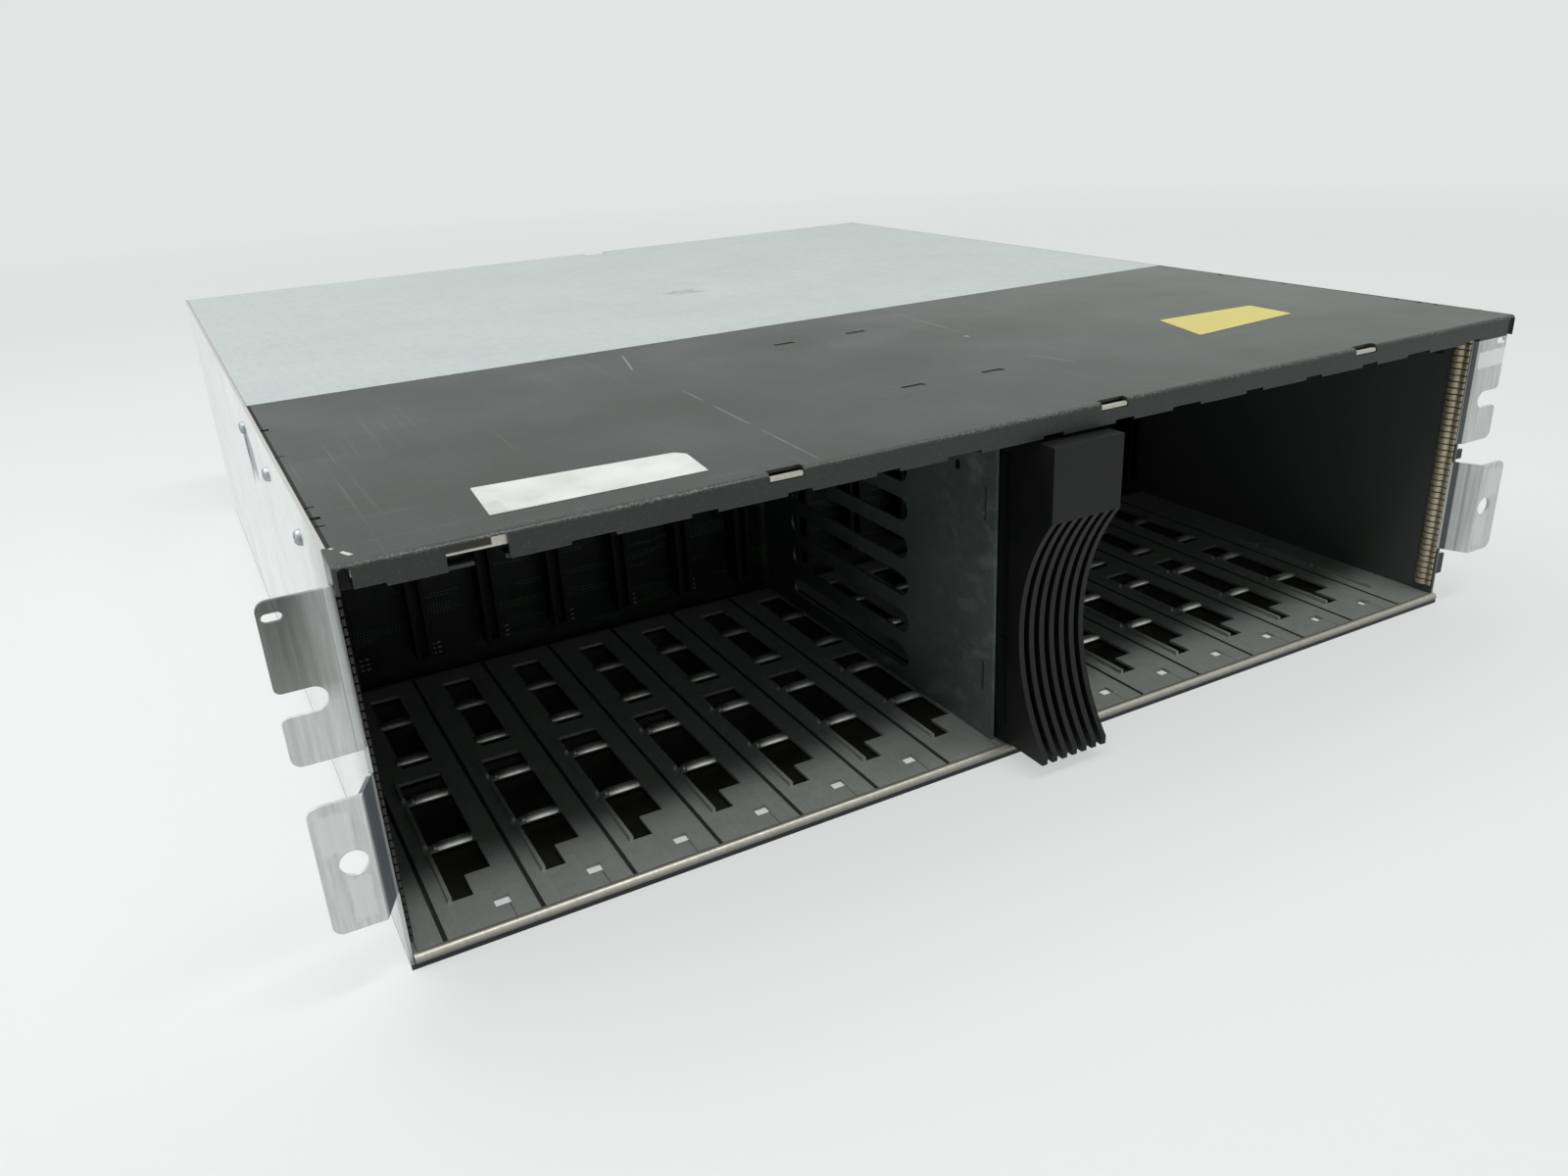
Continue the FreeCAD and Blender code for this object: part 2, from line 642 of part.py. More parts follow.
# Side wall: a tall sheet with an inward foot, a straight upper ear and a stepped lower ear
def side_wall(side):
    sign = SIDES[side]
    body = new_body(side + "_side_wall")

    def mirrored(expression):
        return expression if sign > 0 else f"-({expression})"

    def across(low, high):
        return (low, high) if sign > 0 else (f"-({high})", f"-({low})")

    setback = "(ear_bend + wall_gauge - upper_ear_front)"
    ears = [("lower_ear_low", "lower_ear_high"), (UPPER_EAR_LOW, UPPER_EAR_HIGH)]

    def sheet_outline(sketch):
        steps = [("0", "pan_gauge")]
        for low, high in ears:
            steps += [("0", low), (setback, low), (setback, high), ("0", high)]
        steps += [("0", "chassis_height"), ("chassis_depth", "chassis_height"),
                  ("chassis_depth", "pan_gauge")]
        outline(sketch, steps)

    pad(body, side + "_sheet", "YZ", *across(HALF_IN, HALF_OUT), sheet_outline)
    foot = across(f"{HALF_IN} - flange_width", HALF_IN)
    pad(body, side + "_foot", "XY", "pan_gauge", FLANGE_TOP,
        lambda sketch: rectangle(sketch, *foot, "flange_setback", "chassis_depth"))
    tip = f"{HALF_OUT} + ear_reach"

    def upper_ear(sketch):
        front, back = "-upper_ear_front", "wall_gauge - upper_ear_front"
        bend = f"{HALF_OUT} + ear_bend"
        outer, inner = "ear_bend + wall_gauge", "ear_bend"
        outline(sketch, [
            (mirrored(HALF_IN), setback, outer, sign), (mirrored(bend), front),
            (mirrored(tip), front), (mirrored(tip), back),
            (mirrored(bend), back, inner, -sign), (mirrored(HALF_OUT), setback)])

    def lower_ear(sketch):
        front, back = "-lower_ear_front", "wall_gauge - lower_ear_front"
        outer = f"{HALF_IN} + lower_ear_slope * ({setback} + lower_ear_front)"
        inner = f"{HALF_OUT} + lower_ear_slope * ({setback} + lower_ear_front - wall_gauge)"
        outline(sketch, [
            (mirrored(HALF_IN), setback), (mirrored(outer), front), (mirrored(tip), front),
            (mirrored(tip), back), (mirrored(inner), back), (mirrored(HALF_OUT), setback)])

    pad(body, side + "_lower_ear", "XY", *ears[0], lower_ear)
    pad(body, side + "_upper_ear", "XY", *ears[1], upper_ear)

    def nubs(sketch):
        for low, length in (("nub_low", "nub_length"), ("mid_nub_low", "mid_nub_length")):
            rectangle(sketch, HALF_OUT, f"{HALF_OUT} + nub_reach", low, f"{low} + {length}")

    if side == "right":
        pad(body, "right_nubs", "XZ", "0", "wall_gauge", nubs)
    corners = [value(level) for ear in ears for level in ear]
    reach = sign * value(tip)
    round_edges(body, side + "_ear_corners", "ear_corner",
                lambda edge: any(lies_on(edge, x=reach, z=level) for level in corners))
    hole_line = mirrored(f"{HALF_OUT} + rack_hole_inset")
    notch_level = "rack_hole_level + notch_rise"
    beyond = mirrored(f"{tip} + ear_reach")
    tie = mirrored(f"{HALF_OUT} + tie_slot_inset")
    half_tie = "(tie_slot_length / 2 - tie_slot_radius)"
    tie_level = f"{UPPER_EAR_HIGH} - tie_slot_drop"
    pocket(body, side + "_rack_hole", "XZ", "-lower_ear_front", "wall_gauge - lower_ear_front",
           lambda sketch: circle(sketch, hole_line, "rack_hole_level", "rack_hole_radius"))
    pocket(body, side + "_rack_notch", "XZ", "-upper_ear_front", "wall_gauge - upper_ear_front",
           lambda sketch: slot(sketch, (hole_line, notch_level), (beyond, notch_level), "notch_radius"))
    mouth = [value(f"{notch_level} - notch_radius"), value(f"{notch_level} + notch_radius")]
    round_edges(body, side + "_notch_mouth", "notch_corner",
                lambda edge: any(lies_on(edge, x=reach, z=level) for level in mouth))
    pocket(body, side + "_tie_slot", "XZ", "-upper_ear_front", "wall_gauge - upper_ear_front",
           lambda sketch: slot(sketch, (f"{tie} - {half_tie}", tie_level), (f"{tie} + {half_tie}", tie_level),
                               "tie_slot_radius"))
    pocket(body, side + "_screw_holes", "YZ", *across(HALF_IN, HALF_OUT),
           lambda sketch: screw_holes(sketch, SCREW_PLACES))
    slot_high = "(chassis_height - wall_slot_top_gap)"
    pocket(body, side + "_wall_slot", "YZ", *across(HALF_IN, HALF_OUT),
           lambda sketch: slot(sketch, ("wall_slot_depth", f"{slot_high} - wall_slot_length"),
                               ("wall_slot_depth", slot_high), "wall_slot_radius"))
    return body


def screw_holes(sketch, places):
    for along in places:
        circle(sketch, along, SCREW_LEVEL, "screw_hole")


# Flanges of a cover that hang inside both walls, with the holes for its screws
def cover_flanges(body, front, back, places):
    names = body.Label
    low = f"{COVER_UNDER} - cover_flange_drop"
    flange = pad(body, names + "_flange", "YZ", COVER_FLANGE_IN, COVER_HALF,
                 lambda sketch: rectangle(sketch, front, back, low, COVER_UNDER))
    mirror(body, names + "_flanges", [flange], "YZ")
    pocket(body, names + "_holes", "YZ", f"-{COVER_HALF}", COVER_HALF,
           lambda sketch: screw_holes(sketch, places))


# Black cover over the drive bays, folded down and back along the front into a notched lip
def drive_bay_cover():
    body = new_body("drive_bay_cover")
    lip_front, lip_back = "-lip_reach", "cover_gauge - lip_reach"

    def top(sketch):
        outline(sketch, [
            (f"-{HALF_OUT}", lip_front), (HALF_OUT, lip_front), (HALF_OUT, "-seam_gap"),
            (COVER_HALF, "-seam_gap"), (COVER_HALF, "cover_seam"), (f"-{COVER_HALF}", "cover_seam"),
            (f"-{COVER_HALF}", "-seam_gap"), (f"-{HALF_OUT}", "-seam_gap")])

    pad(body, "cover_top", "XY", COVER_UNDER, "chassis_height", top)
    pad(body, "lip_face", "XZ", lip_front, lip_back,
        lambda sketch: rectangle(sketch, f"-{HALF_OUT}", HALF_OUT, LIP_LOW, COVER_UNDER))
    pad(body, "lip_return", "XY", LIP_LOW, f"{LIP_LOW} + cover_gauge",
        lambda sketch: rectangle(sketch, f"-{HALF_OUT}", HALF_OUT, lip_back, "lip_return - lip_reach"))
    front, crest = -value("lip_reach"), value("chassis_height")
    ends = (value(HALF_OUT), -value(HALF_OUT))
    round_edges(body, "lip_edge", "lip_round", lambda edge: lies_on(edge, y=front, z=crest))
    round_edges(body, "lip_corners", "lip_corner",
                lambda edge: any(lies_on(edge, x=end, y=front) for end in ends))
    cover_flanges(body, "cover_flange_front", "cover_seam - cover_flange_back", SCREW_PLACES[:2])
    fold = "lip_return - lip_reach"
    for side, (first, bays) in BAY_GROUPS.items():
        right = f"{first} - lip_notch_shift + lip_notch_width / 2"

        def notch(sketch):
            rectangle(sketch, f"{right} - lip_notch_width", right, lip_front, fold)

        cut = pocket(body, side + "_lip_notch", "XY", LIP_LOW, f"{LIP_LOW} + cover_gauge", notch)
        repeat(body, side + "_lip_notches", cut, "X", "bay_pitch", bays)
        wide_left = f"{right} + 2 * bay_pitch"

        def wide_notch(sketch):
            wide_right = f"{wide_left} - lip_notch_width / 2"
            rectangle(sketch, f"{wide_left} - lip_wide_notch", wide_right, lip_front, fold)

        cut = pocket(body, side + "_wide_notch", "XY", LIP_LOW, f"{LIP_LOW} + cover_gauge", wide_notch)
        repeat(body, side + "_wide_notches", cut, "X", "4 * bay_pitch", "2")
    gap_left = f"{LEFT_FIRST} + bay_pitch - lip_gap_shift - lip_gap_width / 2 + lip_notch_width / 2"
    pocket(body, "lip_gap", "XZ", lip_front, lip_back,
           lambda sketch: rectangle(sketch, gap_left, f"{gap_left} + lip_gap_width", LIP_LOW, COVER_UNDER))

    def corner_slots(sketch):
        slot_radius = "lip_slot_width / 2"
        for turn in ("-", "+"):
            middle = f"{turn}({HALF_OUT} - lip_end - {slot_radius})"
            slot(sketch, (middle, f"{LIP_LOW} - lip_slot_width"),
                 (middle, f"chassis_height - lip_slot_drop - {slot_radius}"), slot_radius)

    pocket(body, "lip_corner_slots", "XZ", lip_front, fold, corner_slots)
    clip_left = "clip_slot_shift - clip_slot_width / 2 - clip_slot_pitch"
    cut = pocket(body, "clip_slot", "XZ", lip_front, f"{lip_front} + clip_slot_depth",
                 lambda sketch: rectangle(sketch, clip_left, f"{clip_left} + clip_slot_width",
                                          "chassis_height - clip_slot_drop", "chassis_height"))
    repeat(body, "clip_slots", cut, "X", "clip_slot_pitch", "3")

    def dimples(sketch):
        for turn in ("-", ""):
            middle = f"{DIVIDER_LEFT} + divider_flange + wall_gauge / 2 {turn or '+'} dimple_spread / 2"
            rectangle(sketch, f"{middle} - dimple_width / 2", f"{middle} + dimple_width / 2",
                      "dimple_first - dimple_length / 2", "dimple_first + dimple_length / 2")

    cut = pocket(body, "dimple", "XY", "chassis_height - dimple_depth", "chassis_height", dimples)
    repeat(body, "dimples", cut, "Y", "dimple_pitch", "2")

    def ticks(sketch):
        marks = [("edge_tick_first", "edge_tick_length"),
                 ("edge_tick_first + edge_tick_pitch", "edge_tick_length"),
                 ("edge_tick_first - fine_tick_before", "fine_tick_length"),
                 ("edge_tick_first + fine_tick_after", "fine_tick_length"),
                 ("edge_tick_first + fine_tick_far", "fine_tick_length")]
        for low, high in ((f"-{COVER_HALF}", f"edge_tick_width - {COVER_HALF}"),
                          (f"{COVER_HALF} - edge_tick_width", COVER_HALF)):
            for middle, length in marks:
                rectangle(sketch, low, high, f"{middle} - {length} / 2", f"{middle} + {length} / 2")

    pocket(body, "edge_ticks", "XY", "chassis_height - dimple_depth", "chassis_height", ticks)
    return body


# Zinc cover over the rear modules
def rear_top_cover():
    body = new_body("rear_top_cover")
    front = "cover_seam + seam_gap"
    pad(body, "rear_top", "XY", COVER_UNDER, "chassis_height",
        lambda sketch: rectangle(sketch, f"-{COVER_HALF}", COVER_HALF, front, "chassis_depth"))
    cover_flanges(body, f"{front} + cover_flange_back", "chassis_depth - cover_flange_back", SCREW_PLACES[2:])
    pocket(body, "rear_notch", "XY", COVER_UNDER, "chassis_height",
           lambda sketch: rectangle(sketch, "rear_notch_place - rear_notch_width / 2",
                                    "rear_notch_place + rear_notch_width / 2",
                                    "chassis_depth - rear_notch_depth", "chassis_depth"))
    return body


# Upright sheet between the two groups of bays, with a row of long slots
def centre_divider():
    body = new_body("centre_divider")
    right = f"{DIVIDER_LEFT} + wall_gauge"
    pad(body, "divider_sheet", "YZ", DIVIDER_LEFT, right,
        lambda sketch: rectangle(sketch, "divider_front", PLATE_BACK, FLOOR_TOP, COVER_UNDER))
    pad(body, "divider_flange_top", "XY", f"{COVER_UNDER} - wall_gauge", COVER_UNDER,
        lambda sketch: rectangle(sketch, right, f"{right} + divider_flange", "divider_hole_back", PLATE_BACK))
    slot_front = "divider_slot_front + divider_slot_radius"
    slot_back = "divider_slot_back - divider_slot_radius"
    long_slot = pocket(body, "divider_slot", "YZ", DIVIDER_LEFT, right,
                       lambda sketch: slot(sketch, (slot_front, "divider_slot_first"),
                                           (slot_back, "divider_slot_first"), "divider_slot_radius"))
    repeat(body, "divider_slot_row", long_slot, "Z", "divider_slot_pitch", "divider_slots")
    key = pocket(body, "divider_key", "YZ", DIVIDER_LEFT, right,
                 lambda sketch: slot(sketch, ("divider_key_back", "divider_key_low"),
                                     ("divider_key_back", "divider_key_low + divider_key_length"),
                                     "divider_key_radius"))
    repeat(body, "divider_keys", key, "Z", "divider_key_rise", "2")
    pocket(body, "divider_hole", "YZ", DIVIDER_LEFT, right,
           lambda sketch: circle(sketch, "divider_hole_back", "divider_hole_level", "divider_hole_radius"))
    return body


# Bright bead that grips the front edge of the guide plate
def floor_edge_gasket():
    body = new_body("floor_edge_gasket")
    pad(body, "bead", "YZ", f"-{COVER_HALF}", COVER_HALF,
        lambda sketch: circle(sketch, BEAD_MIDDLE, BEAD_LEVEL, "bead_radius"))
    pocket(body, "bead_groove", "YZ", f"-{COVER_HALF}", COVER_HALF,
           lambda sketch: rectangle(sketch, "-tongue_reach - tongue_fit", "bead_radius",
                                    f"{FLANGE_TOP} - tongue_fit", f"{FLOOR_TOP} + tongue_fit"))
    return body


# Bright strip behind the cover's lip, with a clip standing in each slot of the lip
def lip_gasket():
    body = new_body("lip_gasket")
    face = "cover_gauge + sheet_fit - lip_reach"
    reach = f"{HALF_OUT} - lip_strip_inset"
    pad(body, "lip_strip", "XZ", face, f"{face} + lip_strip_gauge",
        lambda sketch: rectangle(sketch, f"-({reach})", reach, f"{LIP_STRIP_HIGH} - lip_strip_height",
                                 LIP_STRIP_HIGH))
    left = "clip_slot_shift - clip_slot_width / 2 - clip_slot_pitch + clip_play"
    clip = pad(body, "lip_clip", "XZ", "clip_play - lip_reach", f"{face} + lip_strip_gauge",
               lambda sketch: rectangle(sketch, left, f"{left} + clip_slot_width - 2 * clip_play",
                                        "chassis_height - clip_slot_drop + clip_play", LIP_STRIP_HIGH))
    repeat(body, "lip_clips", clip, "X", "clip_slot_pitch", "3")
    return body


# Bowed strip of spring fingers inside the front edge of a wall
def finger_gasket(side):
    sign = SIDES[side]
    body = new_body(side + "_finger_gasket")
    base = f"({HALF_IN} - sheet_fit)"
    wall_line = base if sign > 0 else f"-{base}"
    back = "(finger_front + finger_width)"
    top = f"{LIP_LOW} - finger_top_gap"
    root = f"({base} - finger_strip)"
    column_back = "(finger_front + finger_column)"
    finger_start = f"({column_back} + finger_groove)"
    half_finger = f"(({back} - {finger_start}) / 2)"
    bulge = f"({half_finger} ^ 2 + finger_bulge ^ 2) / (2 * finger_bulge)"

    def across(low, high):
        return (low, high) if sign > 0 else (f"-({high})", f"-({low})")

    pad(body, side + "_strip", "XY", "finger_low", top,
        lambda sketch: rectangle(sketch, *across(root, base), "finger_front", back))
    pad(body, side + "_column", "XY", "finger_low", top,
        lambda sketch: rectangle(sketch, *across(f"{base} - finger_column_rise", base), "finger_front",
                                 column_back))
    pad(body, side + "_fingers", "XY", "finger_low", top,
        lambda sketch: outline(sketch, [(wall_line, finger_start), (wall_line, back, bulge, sign)]))
    first = f"finger_low + {FINGER_PITCH}"
    slit = pocket(body, side + "_slit", "XY", f"{first} - finger_slit / 2", f"{first} + finger_slit / 2",
                  lambda sketch: rectangle(sketch, *across(f"{base} - finger_bulge", root), "finger_front",
                                           back))
    repeat(body, side + "_slits", slit, "Z", FINGER_PITCH, "finger_count - 1")
    return body


# Pan-head screws through both walls into the covers' flanges
def cover_screws():
    body = new_body("cover_screws")

    def row(sketch, radius):
        for along in SCREW_PLACES:
            circle(sketch, along, SCREW_LEVEL, radius)

    shanks = pad(body, "screw_shanks", "YZ", f"{HALF_OUT} - screw_length", HALF_OUT,
                 lambda sketch: row(sketch, "screw_shank"))
    heads = pad(body, "screw_heads", "YZ", HALF_OUT, f"{HALF_OUT} + screw_head_height",
                lambda sketch: row(sketch, "screw_head"))
    mirror(body, "screw_sides", [shanks, heads], "YZ")
    return body


# Circuit board across the chassis, with an air window behind each bay
def midplane_board():
    body = new_body("midplane_board")
    half = f"{HALF_IN} - board_margin"
    pad(body, "board", "XZ", "board_front", BOARD_BACK,
        lambda sketch: rectangle(sketch, f"-({half})", half, f"{FLANGE_TOP} + sheet_fit", BOARD_TOP))
    for side, (first, bays) in BAY_GROUPS.items():
        high = f"{BOARD_TOP} - board_window_drop"
        window = pocket(body, side + "_air_window", "XZ", "board_front", BOARD_BACK,
                        lambda sketch: rectangle(sketch, f"{first} - board_window_width / 2",
                                                 f"{first} + board_window_width / 2",
                                                 f"{high} - board_window_height", high))
        repeat(body, side + "_air_windows", window, "X", "bay_pitch", bays)
    return body


# One upright connector for each drive
def drive_connectors():
    body = new_body("drive_connectors")
    for side, (first, bays) in BAY_GROUPS.items():
        plug = pad(body, side + "_plug", "XZ", "board_front - plug_length", "board_front",
                   lambda sketch: rectangle(sketch, f"{first} - plug_width / 2", f"{first} + plug_width / 2",
                                            "plug_low", "plug_low + plug_height"))
        repeat(body, side + "_plugs", plug, "X", "bay_pitch", bays)
        mouth = pocket(body, side + "_mouth", "XZ", "board_front - plug_length",
                       "board_front - plug_length / 2",
                       lambda sketch: rectangle(sketch, f"{first} - plug_width / 2 + plug_wall",
                                                f"{first} + plug_width / 2 - plug_wall",
                                                "plug_low + plug_wall", "plug_low + plug_height - plug_wall"))
        repeat(body, side + "_mouths", mouth, "X", "bay_pitch", bays)
    return body


# Connectors on the rear of the midplane, one behind each module
def module_connectors():
    middles = []
    for turn in ("-", ""):
        middles += [(f"{turn}{SUPPLY_MIDDLE}", MODULE_LOW), (f"{turn}{BLOWER_MIDDLE}", MODULE_LOW)]
    middles += [("0", f"{MODULE_LOW} + {step} * {LINK_STEP}") for step in range(3)]
    sockets = []
    for index, (middle, low) in enumerate(middles, start=1):
        bottom = f"{low} + socket_rise"
        socket = block(f"socket_{index}", f"{middle} - socket_width / 2", f"{middle} + socket_width / 2",
                       BOARD_BACK, f"{BOARD_BACK} + socket_length", bottom, f"{bottom} + socket_height")
        sockets.append(socket)
    group = doc.addObject("Part::Compound", "module_connectors")
    group.Label = "module_connectors"
    group.Links = sockets
    return group


# Floor, partitions and shelves that carry the rear modules
def rear_frame():
    start = f"{BOARD_BACK} + connector_gap"
    frame = [block("module_floor_plate", f"-{COVER_HALF}", COVER_HALF, start, "chassis_depth",
                   FLANGE_TOP, FLOOR_TOP)]
    for side, turn in (("left", "-"), ("right", "")):
        edges = [f"-{PARTITION_OUTER}", f"-{PARTITION_INNER}"] if turn else [PARTITION_INNER, PARTITION_OUTER]
        frame.append(block(f"{side}_partition", *edges, start, "chassis_depth", FLOOR_TOP, COVER_UNDER))
    for name, step in (("lower_shelf", 1), ("upper_shelf", 2)):
        top = f"{FLOOR_TOP} + {step} * {LINK_STEP}"
        frame.append(block(name, f"-{PARTITION_INNER}", PARTITION_INNER, start, "chassis_depth",
                           f"{top} - wall_gauge", top))
    return frame


# Drive blank: a moulded front with a brow, a scooped row of fins and a hollow back
def blank_body():
    body = new_body("blank_body")
    half = BLANK_HALF
    front, toe = "-blank_front", f"{BLANK_LOW} + blank_toe"
    pad(body, "blank_side", "YZ", f"-{half}", half,
        lambda sketch: outline(sketch, [
            (front, BLANK_TOP), (front, BLANK_BROW, "blank_scoop_radius", -1), (front, toe),
            (front, BLANK_LOW), ("blank_back", BLANK_LOW), ("blank_back", BLANK_TOP)]))
    gap_pitch = f"((2 * {half} - blank_fin_gauge) / (blank_fins - 1))"
    first_gap = f"(blank_fin_gauge - {half})"
    behind = "(blank_fin_depth - blank_front)"

    def gap_side(sketch):
        outline(sketch, [
            (front, BLANK_BROW), (front, BLANK_LOW), (behind, BLANK_LOW),
            (behind, toe, "blank_scoop_radius", 1), (behind, BLANK_BROW)])

    gap = pocket(body, "fin_gap", "YZ", first_gap, f"{first_gap} + {gap_pitch} - blank_fin_gauge", gap_side)
    repeat(body, "fin_gaps", gap, "X", gap_pitch, "blank_fins - 1")
    pocket(body, "blank_hollow", "XZ", "blank_pan", "blank_back",
           lambda sketch: rectangle(sketch, f"blank_wall - {half}", f"{half} - blank_wall",
                                    f"{BLANK_LOW} + blank_wall", f"{BLANK_TOP} - blank_wall"))
    place(body, RIGHT_FIRST, "0", "0")
    return body


# Grounding clip on the blank's left side, cut into three springs
def blank_ground_clip():
    body = new_body("blank_ground_clip")
    face = f"-{BLANK_HALF}"
    back = "clip_width - clip_front"
    low, high = f"({BLANK_LOW} + clip_inset)", f"({BLANK_TOP} - clip_inset)"
    pad(body, "clip_strip", "YZ", f"{face} - clip_gauge", face,
        lambda sketch: rectangle(sketch, "-clip_front", back, low, high))
    first = f"(2 * {low} + {high}) / 3"
    cut = pocket(body, "clip_cut", "YZ", f"{face} - clip_gauge", face,
                 lambda sketch: rectangle(sketch, "-clip_front", f"{back} - clip_width / 3", first,
                                          f"{first} + clip_cut"))
    repeat(body, "clip_cuts", cut, "Z", f"({high} - {low}) / 3", "2")
    place(body, RIGHT_FIRST, "0", "0")
    return body


# Sheet case of a module, open towards the midplane, with its face at the rear
def module_case(node, width, height):
    body = new_body(node)
    half = f"({width}) / 2"
    pad(body, node + "_outside", "XZ", f"-{MODULE_LENGTH}", "0",
        lambda sketch: rectangle(sketch, f"-({half})", half, "0", height))
    pocket(body, node + "_inside", "XZ", f"-{MODULE_LENGTH}", "-face_gauge",
           lambda sketch: rectangle(sketch, f"module_gauge - {half}", f"{half} - module_gauge",
                                    "module_gauge", f"{height} - module_gauge"))
    return body


# Power supply: case with inlet and vents, converter board, inlet and swinging handle
def power_supply(side):
    middle = SUPPLY_MIDDLE if SIDES[side] > 0 else f"-{SUPPLY_MIDDLE}"
    case = module_case(f"{side}_supply_case", "supply_width", MODULE_HEIGHT)
    half_hole = "(inlet_width / 2 + inlet_fit)"
    rise = "(inlet_height / 2 + inlet_fit)"
    pocket(case, side + "_inlet_hole", "XZ", "-face_gauge", "0",
           lambda sketch: rectangle(sketch, f"-{half_hole}", half_hole, f"inlet_level - {rise}",
                                    f"inlet_level + {rise}"))
    first_vent = "-(vent_count - 1) * vent_pitch / 2"
    vent = pocket(case, side + "_vent", "XZ", "-face_gauge", "0",
                  lambda sketch: slot(sketch, (first_vent, "vent_low"), (first_vent, "vent_high"),
                                      "vent_radius"))
    repeat(case, side + "_vents", vent, "X", "vent_pitch", "vent_count")
    lug = pad(case, side + "_lug", "YZ", "lug_inner", "lug_inner + lug_gauge",
              lambda sketch: rectangle(sketch, "0", "lug_reach", f"{HINGE_LEVEL} - lug_half",
                                       f"{HINGE_LEVEL} + lug_half"))
    mirror(case, side + "_lugs", [lug], "YZ")
    pocket(case, side + "_lug_holes", "YZ", "-lug_inner - lug_gauge", "lug_inner + lug_gauge",
           lambda sketch: circle(sketch, "handle_hinge_out", HINGE_LEVEL, "hinge_radius + hinge_fit"))
    parts = [case, converter(side), power_inlet(side), supply_handle(side)]
    for part in parts:
        place(part, middle, "chassis_depth", MODULE_LOW)
    return parts


# Converter board on four posts, with a wound coil and two tall capacitors
def converter(side):
    body = new_body(f"{side}_converter_board")
    half = "supply_width / 2 - module_gauge - converter_inset"
    front, back = f"converter_inset - {MODULE_LENGTH}", "-converter_back"
    low = "module_gauge + converter_post"
    top = f"{low} + converter_board"
    pad(body, side + "_board", "XY", low, top,
        lambda sketch: rectangle(sketch, f"-({half})", half, front, back))
    post = pad(body, side + "_posts", "XY", "module_gauge", low,
               lambda sketch: circle(sketch, f"converter_inset - ({half})", f"{back} - converter_inset",
                                     "converter_inset / 2"))
    mirror(body, side + "_post_pair", [post], "YZ")
    far = pad(body, side + "_front_post", "XY", "module_gauge", low,
              lambda sketch: circle(sketch, f"converter_inset - ({half})", f"{front} + converter_inset",
                                    "converter_inset / 2"))
    mirror(body, side + "_front_posts", [far], "YZ")
    coil = f"{back} - coil_place"
    pad(body, side + "_coil", "XY", top, f"{top} + coil_height",
        lambda sketch: rectangle(sketch, f"converter_inset - ({half})", f"{half} - converter_inset",
                                 f"{coil} - coil_length / 2", f"{coil} + coil_length / 2"))
    can = pad(body, side + "_can", "XY", top, f"{top} + can_height",
              lambda sketch: circle(sketch, "0", f"{back} - can_place - can_pitch", "can_radius"))
    repeat(body, side + "_cans", can, "Y", "can_pitch", "2")
    return body


# Three-blade power inlet with chamfered upper corners
def power_inlet(side):
    body = new_body(f"{side}_power_inlet")
    half, rise = "inlet_width / 2", "inlet_height / 2"
    pad(body, side + "_inlet_body", "XZ", "-inlet_depth", "0",
        lambda sketch: rectangle(sketch, f"-{half}", half, f"inlet_level - {rise}", f"inlet_level + {rise}"))
    pad(body, side + "_inlet_rim", "XZ", "0", "inlet_rim_gauge",
        lambda sketch: rectangle(sketch, f"-{half} - inlet_rim", f"{half} + inlet_rim",
                                 f"inlet_level - {rise} - inlet_rim", f"inlet_level + {rise} + inlet_rim"))
    inside, low, high = f"({half} - inlet_wall)", f"inlet_level - {rise} + inlet_wall", \
        f"inlet_level + {rise} - inlet_wall"
    floor = "inlet_wall - inlet_depth"
    pocket(body, side + "_inlet_well", "XZ", floor, "inlet_rim_gauge",
           lambda sketch: outline(sketch, [
               (f"-{inside}", low), (inside, low), (inside, f"{high} - inlet_chamfer"),
               (f"{inside} - inlet_chamfer", high), (f"inlet_chamfer - {inside}", high),
               (f"-{inside}", f"{high} - inlet_chamfer")]))

    def blades(sketch):
        for across, level in (("-blade_spread", "inlet_level"), ("0", "inlet_level + blade_raise"),
                              ("blade_spread", "inlet_level")):
            rectangle(sketch, f"{across} - blade_gauge / 2", f"{across} + blade_gauge / 2",
                      f"{level} - blade_height / 2", f"{level} + blade_height / 2")

    pad(body, side + "_blades", "XZ", floor, f"{floor} + blade_length", blades)
    return body


# U-shaped pull handle that hangs from two pins in the case's lugs
def supply_handle(side):
    body = new_body(f"{side}_supply_handle")
    half = "(lug_inner - hinge_side_gap)"
    inside = f"({half} - handle_leg)"
    top, low = f"{HINGE_LEVEL} + lug_half", f"{HINGE_LEVEL} - handle_drop"
    front = "handle_hinge_out - handle_gauge / 2"
    pad(body, side + "_handle", "XZ", front, f"{front} + handle_gauge",
        lambda sketch: outline(sketch, [
            (f"-{half}", top), (f"-{half}", low), (half, low), (half, top), (inside, top),
            (inside, f"{low} + handle_bar"), (f"-{inside}", f"{low} + handle_bar"), (f"-{inside}", top)]))
    corner, level = value(half), value(low)
    round_edges(body, side + "_handle_corners", "handle_round",
                lambda edge: lies_on(edge, x=corner, z=level) or lies_on(edge, x=-corner, z=level))
    pin_pad = pad(body, side + "_handle_pin", "YZ", half, "lug_inner + lug_gauge",
                  lambda sketch: circle(sketch, "handle_hinge_out", HINGE_LEVEL, "hinge_radius"))
    mirror(body, side + "_handle_pins", [pin_pad], "YZ")
    return body


